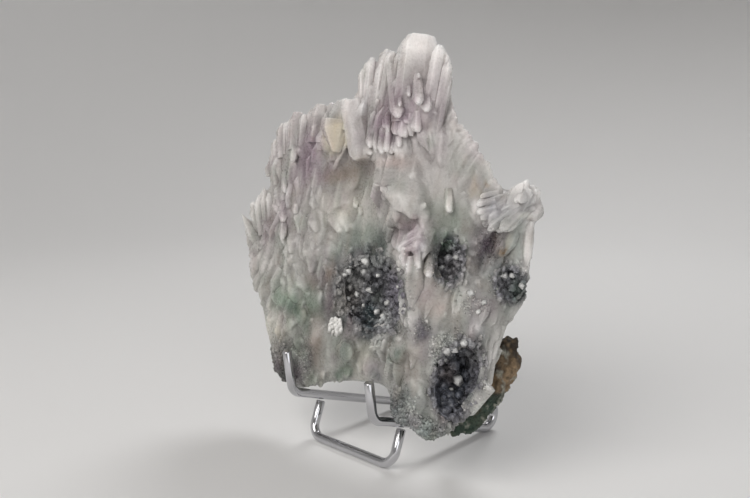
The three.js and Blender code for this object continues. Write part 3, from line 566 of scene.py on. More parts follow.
def hollow_share(a, b, name):
    """0 in the middle of a hollow, 1 at its rim, more outside."""
    middle_a, middle_b, across, along, turn = HOLLOWS[name]
    turn = math.radians(turn)
    da, db = a - middle_a, b - middle_b
    right = da * math.cos(turn) + db * math.sin(turn)
    up = -da * math.sin(turn) + db * math.cos(turn)
    return np.hypot(right / across, up / along)


def place_on_hollow(name, angle, reach):
    """The (a, b) at an angle round a hollow, reach being the share of the way to its rim."""
    middle_a, middle_b, across, along, turn = HOLLOWS[name]
    turn = math.radians(turn)
    right, up = across * reach * math.cos(angle), along * reach * math.sin(angle)
    return (
        middle_a + right * math.cos(turn) - up * math.sin(turn),
        middle_b + right * math.sin(turn) + up * math.cos(turn),
    )


def least_hollow_share(a, b):
    return np.minimum.reduce([hollow_share(a, b, name) for name in HOLLOWS])


class Front:
    """Depth of a solid's front (side 1) or back (side -1), looked up along the face's depth lines."""

    def __init__(self, points, triangles):
        self.tree = BVHTree.FromPolygons(points.tolist(), triangles.tolist())

    def depth(self, a, b, side=1):
        start = Vector(face_points(a, b, 70.0 * side))
        end = Vector(face_points(a, b, -70.0 * side))
        hit = self.tree.ray_cast(start, end - start, (end - start).length)[0]
        return None if hit is None else float(face_coordinates(np.array([hit]))[2][0])


def flow_at(a, b):
    total = np.zeros(2)
    for place_a, place_b, across, up in FLOW:
        direction = np.array([across, up]) / math.hypot(across, up)
        total += direction / ((a - place_a) ** 2 + (b - place_b) ** 2 + 30) ** 1.5
    return total / np.linalg.norm(total)


def face_crystal(solids, front, row, random, point=0.9, blunt=0.3, side=1):
    root_a, root_b, tip_a, tip_b, radius, root_out, tip_out, flat = row
    root_depth = front.depth(root_a, root_b, side)
    tip_depth = front.depth(tip_a, tip_b, side)
    if root_depth is None:
        return
    if tip_depth is None:
        tip_depth = root_depth
    root = face_points(root_a, root_b, root_depth + side * root_out)
    tip = face_points(tip_a, tip_b, tip_depth + side * tip_out)
    outward = face_points(root_a, root_b, side * 10.0) - face_points(root_a, root_b, 0.0)
    solids.add(*crystal(
        root, tip, outward, radius * MM, flat, 0.75, point, blunt,
        spin=random.uniform(0, 1.05), slant=random.uniform(-0.25, 0.25),
    ))


def bundle(solids, front, row, random, shorter=(0.05, 0.5), crowd=1.0, relief=1.0, blunt=0.2):
    """A crystal with thinner parallel ones grown along its sides. relief scales how far it stands out."""
    root_a, root_b, tip_a, tip_b, radius, root_out, tip_out, flat = row
    root_out = root_out - (1 - relief) * 0.6 * radius
    tip_out = relief * tip_out
    flat = flat * (0.4 + 0.6 * relief)
    row = (root_a, root_b, tip_a, tip_b, radius, root_out, tip_out, flat)
    face_crystal(solids, front, row, random, random.uniform(0.8, 1.5), blunt + random.uniform(-0.1, 0.1))
    direction = np.array([tip_a - root_a, tip_b - root_b])
    direction = direction / np.linalg.norm(direction)
    for _ in range(int(round(crowd * (2 + radius)))):
        turn = random.uniform(-1.9, 1.9)
        aside = radius * random.uniform(0.6, 1.0) * math.sin(turn)
        out = radius * flat * random.uniform(0.25, 0.6) * math.cos(turn)
        back = random.uniform(*shorter)
        size = radius * random.uniform(0.28, 0.52)
        shift = aside * np.array([direction[1], -direction[0]])
        small = (
            root_a + shift[0], root_b + shift[1],
            tip_a + shift[0] + back * (root_a - tip_a), tip_b + shift[1] + back * (root_b - tip_b),
            size, root_out + out, tip_out + out + back * (root_out - tip_out), 0.85,
        )
        face_crystal(solids, front, small, random, random.uniform(0.9, 1.7), random.uniform(0.1, 0.3))


def calm_share(a, b):
    """0 where the skin is smooth, 1 where it is as rough as it gets."""
    share = 1.0
    for middle_a, middle_b, across, along, strength in CALM:
        reach = ((a - middle_a) / across) ** 2 + ((b - middle_b) / along) ** 2
        share = share * (1 - strength * np.exp(-0.7 * reach ** 2))
    return share


def ribs(solids, front, random, count, span_a, span_b, radius, length, side, rise=(0.1, 0.55)):
    """Crystals fused along a surface for most of their length, their tips a little clear of it."""
    for _ in range(count):
        a = random.uniform(*span_a)
        b = random.uniform(*span_b)
        direction = flow_at(a, b)
        swing = random.normal(0, 0.16)
        direction = direction + swing * np.array([-direction[1], direction[0]])
        size = random.uniform(*radius)
        half = direction * random.uniform(*length) / 2
        row = (
            a - half[0], b - half[1], a + half[0], b + half[1], size,
            -0.6 * size, random.uniform(*rise) * size, random.uniform(0.55, 0.85),
        )
        if side > 0 and (least_hollow_share(a, b) < 1.15 or least_hollow_share(row[2], row[3]) < 1.0):
            continue
        if side > 0 and random.random() > calm_share(a, b):
            continue
        if front.depth(row[2], row[3], side) is not None:
            face_crystal(solids, front, row, random, random.uniform(0.6, 1.4), random.uniform(0.2, 0.5), side)


def add_lump(solids, front, row):
    a, b, across, along, deep, out = row
    depth = front.depth(a, b)
    if depth is None:
        return
    middle = face_points(a, b, depth + out)
    axes = np.array([
        face_points(a + 1, b, depth) - face_points(a, b, depth),
        face_points(a, b + 1, depth) - face_points(a, b, depth),
        face_points(a, b, depth + 1) - face_points(a, b, depth),
    ])
    axes /= np.linalg.norm(axes, axis=1)[:, None]
    solids.add(*ball(middle, (across * MM, along * MM, deep * MM), axes))


def break_rims(solids, front, random):
    """Uneven lumps along the hollows' rims, so that no rim is a clean oval."""
    for name, (_, _, across, along, _) in HOLLOWS.items():
        for _ in range(int(2.6 * (across + along))):
            angle, reach = random.uniform(0, 2 * math.pi), random.uniform(0.86, 1.16)
            a, b = place_on_hollow(name, angle, reach)
            size = random.uniform(0.8, 2.1, 3)
            add_lump(solids, front, (a, b, *size, random.uniform(-1.0, 0.3)))


def add_balls(solids, front, random):
    for middle_a, middle_b, across, along, count, size in BALLED:
        for _ in range(count):
            turn, reach = random.uniform(0, 2 * math.pi), random.uniform(0, 1) ** 0.6
            a = middle_a + across * reach * math.cos(turn)
            b = middle_b + along * reach * math.sin(turn)
            radius = random.uniform(*size)
            add_lump(solids, front, (a, b, radius, radius, radius, random.uniform(-0.3, 0.45) * radius))


ALBEDO = 1.6                     # how much lighter the surface is than the listed colours
FLOW_ANGLES = np.radians([-60, -30, 0, 30, 60])
LEAF_ANGLES = np.radians(np.arange(-75, 76, 25))


def growth(a, b):
    """The direction of growth as an angle from straight up, and 1 where tips point up, -1 where down."""
    total = np.zeros((len(a), 2))
    upward = np.zeros(len(a))
    for place_a, place_b, across, up in FLOW:
        direction = np.array([across, up]) / math.hypot(across, up)
        weight = ((a - place_a) ** 2 + (b - place_b) ** 2 + 30) ** -1.5
        total += weight[:, None] * direction * np.sign(up)
        upward += weight * np.sign(up)
    return np.arctan2(total[:, 0], total[:, 1]), np.where(upward > 0, 1.0, -1.0)


def along_flow(a, b, w, across_scale, along_scale, seed):
    """Noise drawn out along the direction in which the crystals grew."""
    angle, _ = growth(a, b)
    value = np.zeros(len(a))
    sum_of_shares = np.full(len(a), 1e-6)
    spacing = FLOW_ANGLES[1] - FLOW_ANGLES[0]
    for i, fixed in enumerate(FLOW_ANGLES):
        share = np.clip(1 - np.abs(angle - fixed) / spacing, 0, None)
        across = a * math.cos(fixed) - b * math.sin(fixed)
        along = a * math.sin(fixed) + b * math.cos(fixed)
        value += share * noise(across * across_scale, along * along_scale, w * across_scale, seed + i)
        sum_of_shares += share
    return value / sum_of_shares


def leaves(a, b, w, across_size, along_size, seed):
    """Height, about -1 to 1, of overlapping leaves that rise to their tips along the growth."""
    angle, upward = growth(a, b)
    nearest = np.abs(angle[:, None] - LEAF_ANGLES[None]).argmin(axis=1)
    fixed = LEAF_ANGLES[nearest]
    place = [
        (a * np.cos(fixed) - b * np.sin(fixed)) / across_size,
        (a * np.sin(fixed) + b * np.cos(fixed)) / along_size * upward,
        w / across_size,
    ]
    cell = [np.floor(v).astype(np.int64) for v in place]
    closest = np.full(len(a), 9.0)
    height = np.zeros(len(a))
    for step in range(27):
        other = [cell[axis] + step // 3 ** axis % 3 - 1 for axis in range(3)]
        shift = [place[axis] - other[axis] - 0.5 - 0.42 * lattice_value(*other, seed + nearest + 17 * axis)
                 for axis in range(3)]
        distance = shift[0] ** 2 + shift[1] ** 2 + shift[2] ** 2
        level = lattice_value(*other, seed + 60)
        tilt = lattice_value(*other, seed + 61)
        found = distance < closest
        closest = np.where(found, distance, closest)
        height = np.where(found, 0.45 * level + 1.1 * shift[1] + 0.7 * tilt * shift[0], height)
    return height


def smoothed(points, triangles, rounds):
    """Each point moved halfway to the mean of its neighbours, over and over."""
    piece = add_object("soft", mesh_from("soft", points, triangles))
    soft = applied(piece, ("SMOOTH", {"factor": 0.5, "iterations": rounds}))
    bpy.data.objects.remove(piece)
    return arrays_from(soft)[0]


def bulge(points, triangles, normals, rounds):
    """How far each point stands out of the skin smoothed over a number of rounds."""
    return np.einsum("ij,ij->i", points - smoothed(points, triangles, rounds), normals)


def near_tips(a, b):
    """1 at the ends of the thin crystals, 0 away from them."""
    share = np.zeros_like(a)
    for _, _, tip_a, tip_b, radius, *_ in SKYLINE + FRONT_CRYSTALS + SHARP_CRYSTALS:
        if radius < 3:
            share = np.maximum(share, np.exp(-(((a - tip_a) / 4) ** 2 + ((b - tip_b) / 5) ** 2)))
    return share


def along_sharp(a, b):
    """1 at the tips of the thin sharp crystals, less along their outer halves, 0 away from them."""
    share = np.zeros_like(a)
    for root_a, root_b, tip_a, tip_b, radius, *_ in SHARP_CRYSTALS:
        if radius > 3.5:
            continue
        half_a, half_b = (tip_a - root_a) / 2, (tip_b - root_b) / 2
        from_a, from_b = a - root_a - half_a, b - root_b - half_b
        along = np.clip((from_a * half_a + from_b * half_b) / (half_a ** 2 + half_b ** 2), 0, 1)
        distance = np.hypot(from_a - along * half_a, from_b - along * half_b)
        share = np.maximum(share, (0.35 + 0.65 * along ** 2) * np.exp(-(distance / (0.9 * radius)) ** 4))
    return share


def set_tint(mesh, colour):
    """Colours are written as they look in the photograph's dim light; ALBEDO makes them real ones."""
    colour = np.clip(np.asarray(colour) * ALBEDO, 0.008, 0.92)
    set_attribute(mesh, "tint", "FLOAT_COLOR", np.column_stack([colour, np.ones(len(colour))]))


def set_attribute(mesh, name, kind, values):
    attribute = mesh.attributes.new(name, kind, "POINT")
    values = values.astype(np.float32).ravel()
    attribute.data.foreach_set("color" if kind == "FLOAT_COLOR" else "value", values)


# ---------------------------------------------------------------------------
# The flower's colours
# ---------------------------------------------------------------------------

MILK = (0.252, 0.245, 0.234)
PALE = (0.43, 0.415, 0.405)
# painted highlight: the colour that the ends and edges of the thin crystals are lightened towards
TIP_HIGHLIGHT = (0.58, 0.56, 0.55)
LILAC = (0.178, 0.131, 0.160)
BLUE_GREY = (0.105, 0.105, 0.135)
GREEN_GREY = (0.150, 0.182, 0.148)
DEEP_GREEN = (0.055, 0.085, 0.062)
PINK_BEIGE = (0.235, 0.195, 0.175)
RUST = (0.20, 0.115, 0.065)
SHADOW_BROWN = (0.15, 0.125, 0.105)
DARK_DRUSE = (0.028, 0.032, 0.034)
GREY_DRUSE = (0.082, 0.085, 0.088)

# Zones of the front: a, b, half-widths across and along, colour, strength
ZONES = [
    (16, 130, 18, 12, LILAC, 0.55), (6, 120, 14, 7, (0.165, 0.125, 0.150), 0.85),
    (17, 124, 7, 4, (0.26, 0.21, 0.24), 0.6), (16, 155, 12, 5, PALE, 0.8),
    (-38, 106, 10, 13, (0.145, 0.106, 0.132), 0.85), (-28, 102, 9, 6, (0.14, 0.105, 0.128), 0.8),
    (-25.2, 115.4, 6.4, 7.6, (0.52, 0.475, 0.35), 1.0), (-22, 98, 7, 2.5, RUST, 0.35),
    # (-12, 101): painted shade in the dim hollow under the slanting blade
    (-12, 101, 9, 7, SHADOW_BROWN, 0.9), (10, 106, 10, 3, (0.30, 0.23, 0.215), 0.6),
    (-14, 119, 7, 13, (0.24, 0.225, 0.225), 0.75), (-50, 92, 9, 10, LILAC, 0.35),
    (-52, 80, 6, 8, LILAC, 0.6), (-62, 70, 6, 9, LILAC, 0.4), (-12, 83, 12, 8, (0.50, 0.48, 0.43), 0.6),
    # (26, 83): painted shade at the foot of the boss
    (20, 93, 12, 9, PALE, 0.3), (26, 83, 9, 4, (0.16, 0.13, 0.13), 0.9), (29, 75, 9, 7, LILAC, 0.7),
    (33, 73, 3, 3, BLUE_GREY, 0.5), (42, 86, 10, 8, (0.150, 0.168, 0.142), 0.8),
    (44, 77, 5, 4, DEEP_GREEN, 0.95), (-1, 74, 11, 10, (0.145, 0.168, 0.148), 0.9),
    (12, 71, 5, 7, (0.055, 0.072, 0.062), 0.9), (-10, 66, 7, 5, GREEN_GREY, 0.7),
    (-43, 42, 9, 8, GREEN_GREY, 1.0), (-23, 43, 9, 7, GREEN_GREY, 1.0), (-31, 35, 8, 7, DEEP_GREEN, 0.85),
    (-38, 38, 4, 4, DEEP_GREEN, 0.7), (-15.5, 55, 2.4, 5, RUST, 0.95), (-24, 51, 7, 3, SHADOW_BROWN, 0.7),
    (-19, 28, 5, 14, (0.130, 0.105, 0.088), 0.9), (-46, 26, 9, 7, (0.42, 0.40, 0.35), 0.9),
    (-37, 14, 13, 13, (0.018, 0.019, 0.018), 1.0), (-24, 17, 5, 6, (0.10, 0.10, 0.10), 0.8),
    (0.6, 26, 5.4, 5, (0.085, 0.105, 0.090), 0.9), (28.4, 31.6, 5, 5.4, (0.085, 0.105, 0.090), 0.9),
    (3, 19, 3, 3, DEEP_GREEN, 0.9), (-1, 15, 3, 3, DEEP_GREEN, 0.8),
    (18.6, 21.6, 3.4, 4, (0.085, 0.085, 0.095), 0.9), (9, 26, 7, 8, (0.40, 0.39, 0.34), 0.5),
    (-30, 22, 6, 6, (0.13, 0.14, 0.12), 0.6), (-14, 11, 7, 4, (0.12, 0.13, 0.11), 0.6),
    (38, 21, 6, 6, GREEN_GREY, 0.5), (35.4, 10.6, 8, 8, (0.038, 0.048, 0.050), 1.0),
    (48, 7, 10, 4, (0.14, 0.155, 0.165), 0.9), (58, 4, 9, 4, DEEP_GREEN, 0.8),
    (42, 14, 6, 8, (0.17, 0.175, 0.17), 0.8), (39, 43, 6, 5, (0.052, 0.052, 0.072), 1.0),
    (45, 52, 3, 3, (0.38, 0.28, 0.25), 0.5), (40, 56, 8, 10, PINK_BEIGE, 0.5),
    (37, 31, 6, 9, PINK_BEIGE, 0.4), (51, 36, 6, 6, (0.34, 0.36, 0.34), 0.6),
    # (64, 77) and (69.5, 80): dark crystals under the wing, made darker with painted shade from its overhang
    (64, 77, 8, 11, (0.022, 0.021, 0.026), 1.0), (69.5, 80, 4, 6, (0.048, 0.040, 0.034), 0.9),
    (77, 80, 3.5, 9, (0.26, 0.28, 0.26), 0.8), (81.5, 81, 2.0, 10, PALE, 0.9),
    (79, 97, 7, 6, (0.36, 0.36, 0.36), 0.6), (53, 101, 1.6, 4, (0.36, 0.30, 0.21), 0.5),
    (60, 94, 6, 3, BLUE_GREY, 0.35), (68, 93, 9, 5, (0.27, 0.27, 0.29), 0.5),
    (66, 46, 4, 5, BLUE_GREY, 0.35), (76, 66, 9, 6, (0.14, 0.16, 0.15), 0.8), (-68, 54, 3, 5, PALE, 0.6),
    (-30, 128, 4, 4, (0.34, 0.34, 0.36), 0.6), (-12, 131, 3, 6, (0.36, 0.37, 0.39), 0.5),
    (-23, 43, 8, 7, (0.10, 0.118, 0.095), 0.6), (70, 22.6, 5, 6, (0.27, 0.29, 0.255), 1.0),
    (74.6, 40, 2.2, 12, PALE, 0.4), (18, 36, 4, 5, (0.30, 0.33, 0.30), 0.9),
    # round the middle hollow
    (-8, 50, 13, 15, GREY_DRUSE, 0.75), (12, 34, 12, 6, (0.11, 0.12, 0.105), 0.6),
    (-3, 62, 9, 6, GREY_DRUSE, 0.8), (5, 68, 9, 4, GREY_DRUSE, 0.85), (-7, 54, 8, 9, GREY_DRUSE, 0.85),
    (-5, 45, 8, 6, (0.055, 0.05, 0.042), 0.9), (4, 39, 10, 4.5, DARK_DRUSE, 0.9),
    (13, 37, 8, 3, GREY_DRUSE, 0.8), (21, 43, 6, 5, (0.21, 0.22, 0.21), 0.75),
    (12, 52, 16, 15, DARK_DRUSE, 0.9),
    # round the others
    (60, 27, 11, 16, GREY_DRUSE, 0.9), (48, 70, 8, 9, GREY_DRUSE, 0.8), (77, 66, 8, 7, GREY_DRUSE, 0.85),
]


# Small patches with crisper edges: a, b, half-widths across and along, colour, strength
SPOTS = [
    # the bright tip over the small pocket
    (43.4, 92.4, 1.8, 4.4, (0.44, 0.42, 0.40), 0.85),
    # rust and gold specks
    (80.6, 90.4, 1.1, 0.9, (0.045, 0.028, 0.018), 0.95), (78.2, 91.0, 3.0, 1.1, (0.46, 0.455, 0.43), 0.8),
    (71.7, 76.9, 2.4, 1.2, (0.13, 0.088, 0.042), 0.95), (73.5, 81.4, 1.4, 2.4, (0.34, 0.335, 0.295), 0.8),
    (57.0, 97.0, 1.2, 2.6, (0.30, 0.28, 0.235), 0.7), (60.0, 100.0, 1.0, 1.2, (0.16, 0.10, 0.05), 0.6),
]


def mix_in(colour, shade, share):
    """Moves the colours towards a shade, each by its share."""
    colour += (np.array(shade) - colour) * share[:, None]


def blend_zones(colour, a, b, zones, mask=1, crispness=1.3):
    for zone_a, zone_b, half_a, half_b, shade, strength in zones:
        reach = ((a - zone_a) / half_a) ** 2 + ((b - zone_b) / half_b) ** 2
        share = strength * np.exp(-0.8 * reach ** crispness) * mask
        mix_in(colour, shade, share)


def paint_flower(points, normals, convex):
    """Base colour of each point of the flower, from the zones and the growth streaks, with painted highlights
    at the crystals' tips and edges and painted shade in the creases.
    """
    a, b, w = face_coordinates(points)
    faces_front = np.clip(0.5 + 1.6 * (-normals[:, 1] * 0.95 + normals[:, 0] * 0.25 + 0.1), 0, 1)
    warp_a = a + 2.2 * noise(a / 6, b / 6, w / 6, 31) + 0.8 * noise(a / 1.8, b / 1.8, w / 1.8, 32)
    warp_b = b + 2.2 * noise(a / 6, b / 6, w / 6, 33) + 0.8 * noise(a / 1.8, b / 1.8, w / 1.8, 34)
    colour = np.tile(np.array(MILK), (len(points), 1))
    cloud = 0.5 + 0.5 * noise(a / 17, b / 22, w / 17, 35)
    mix_in(colour, LILAC, 0.35 * cloud * np.clip((b - 85) / 40, 0, 1))
    mix_in(colour, GREEN_GREY, 0.35 * cloud * np.clip((75 - b) / 40, 0, 1))
    blend_zones(colour, warp_a, warp_b, ZONES, faces_front)
    blend_zones(colour, a + 0.4 * (warp_a - a), b + 0.4 * (warp_b - b), SPOTS, faces_front, 2.2)
    rim = least_hollow_share(warp_a, warp_b)
    rim = rim + 0.13 * noise(a / 4, b / 4, w / 4, 36)
    dusk = np.clip((1.12 - rim) / 0.3, 0, 1) * faces_front
    mix_in(colour, np.array(DARK_DRUSE) * 1.3, 0.9 * dusk)
    for seed, shade, size in ((37, LILAC, 7), (38, GREEN_GREY, 6), (39, PALE, 5), (40, SHADOW_BROWN, 4)):
        cloud = np.clip(noise(a / size, b / (1.6 * size), w / size, seed) - 0.15, 0, 1) * 0.45
        mix_in(colour, shade, cloud)
    streak = along_flow(a, b, w, 0.55, 0.07, 41) + 0.8 * along_flow(a, b, w, 1.5, 0.14, 47)
    colour *= (1 + 0.09 * streak + 0.05 * along_flow(a, b, w, 0.17, 0.05, 53))[:, None]
    # Painted highlight: the ends of the thin crystals and the skyline's tips are lightened.
    for row in SKYLINE + FRONT_CRYSTALS:
        if row[4] < 2.7 or row in SKYLINE:
            reach = ((a - row[2]) / max(row[4], 2)) ** 2 + ((b - row[3]) / (1.6 * row[4])) ** 2
            share = (0.22 if row in SKYLINE else 0.3) * np.exp(-0.8 * reach ** 1.5)
            mix_in(colour, TIP_HIGHLIGHT, share)
    # Painted highlight along the outer halves of the thin sharp crystals, stronger on their convex edges.
    edge = np.clip(convex / 0.8, -1, 1)
    share = 0.5 * along_sharp(a, b) * np.clip(0.12 + edge, 0, 1)
    mix_in(colour, TIP_HIGHLIGHT, share)
    # Painted highlight on convex edges and painted shade in the creases, the shade a little warmer.
    colour *= (1 + np.where(edge > 0, 0.14 * edge, 0.22 * edge))[:, None]
    colour *= (1 + 0.05 * noise(a / 1.6, b / 1.6, w / 1.6, 43))[:, None]
    warm_shade = np.clip(-edge, 0, 1) * 0.25
    colour *= np.stack([np.ones_like(warm_shade), 1 - 0.10 * warm_shade, 1 - 0.12 * warm_shade], axis=1)
    return np.clip(colour, 0.01, 0.95)


# ---------------------------------------------------------------------------
# Crystals whose facets are still sharp
# ---------------------------------------------------------------------------

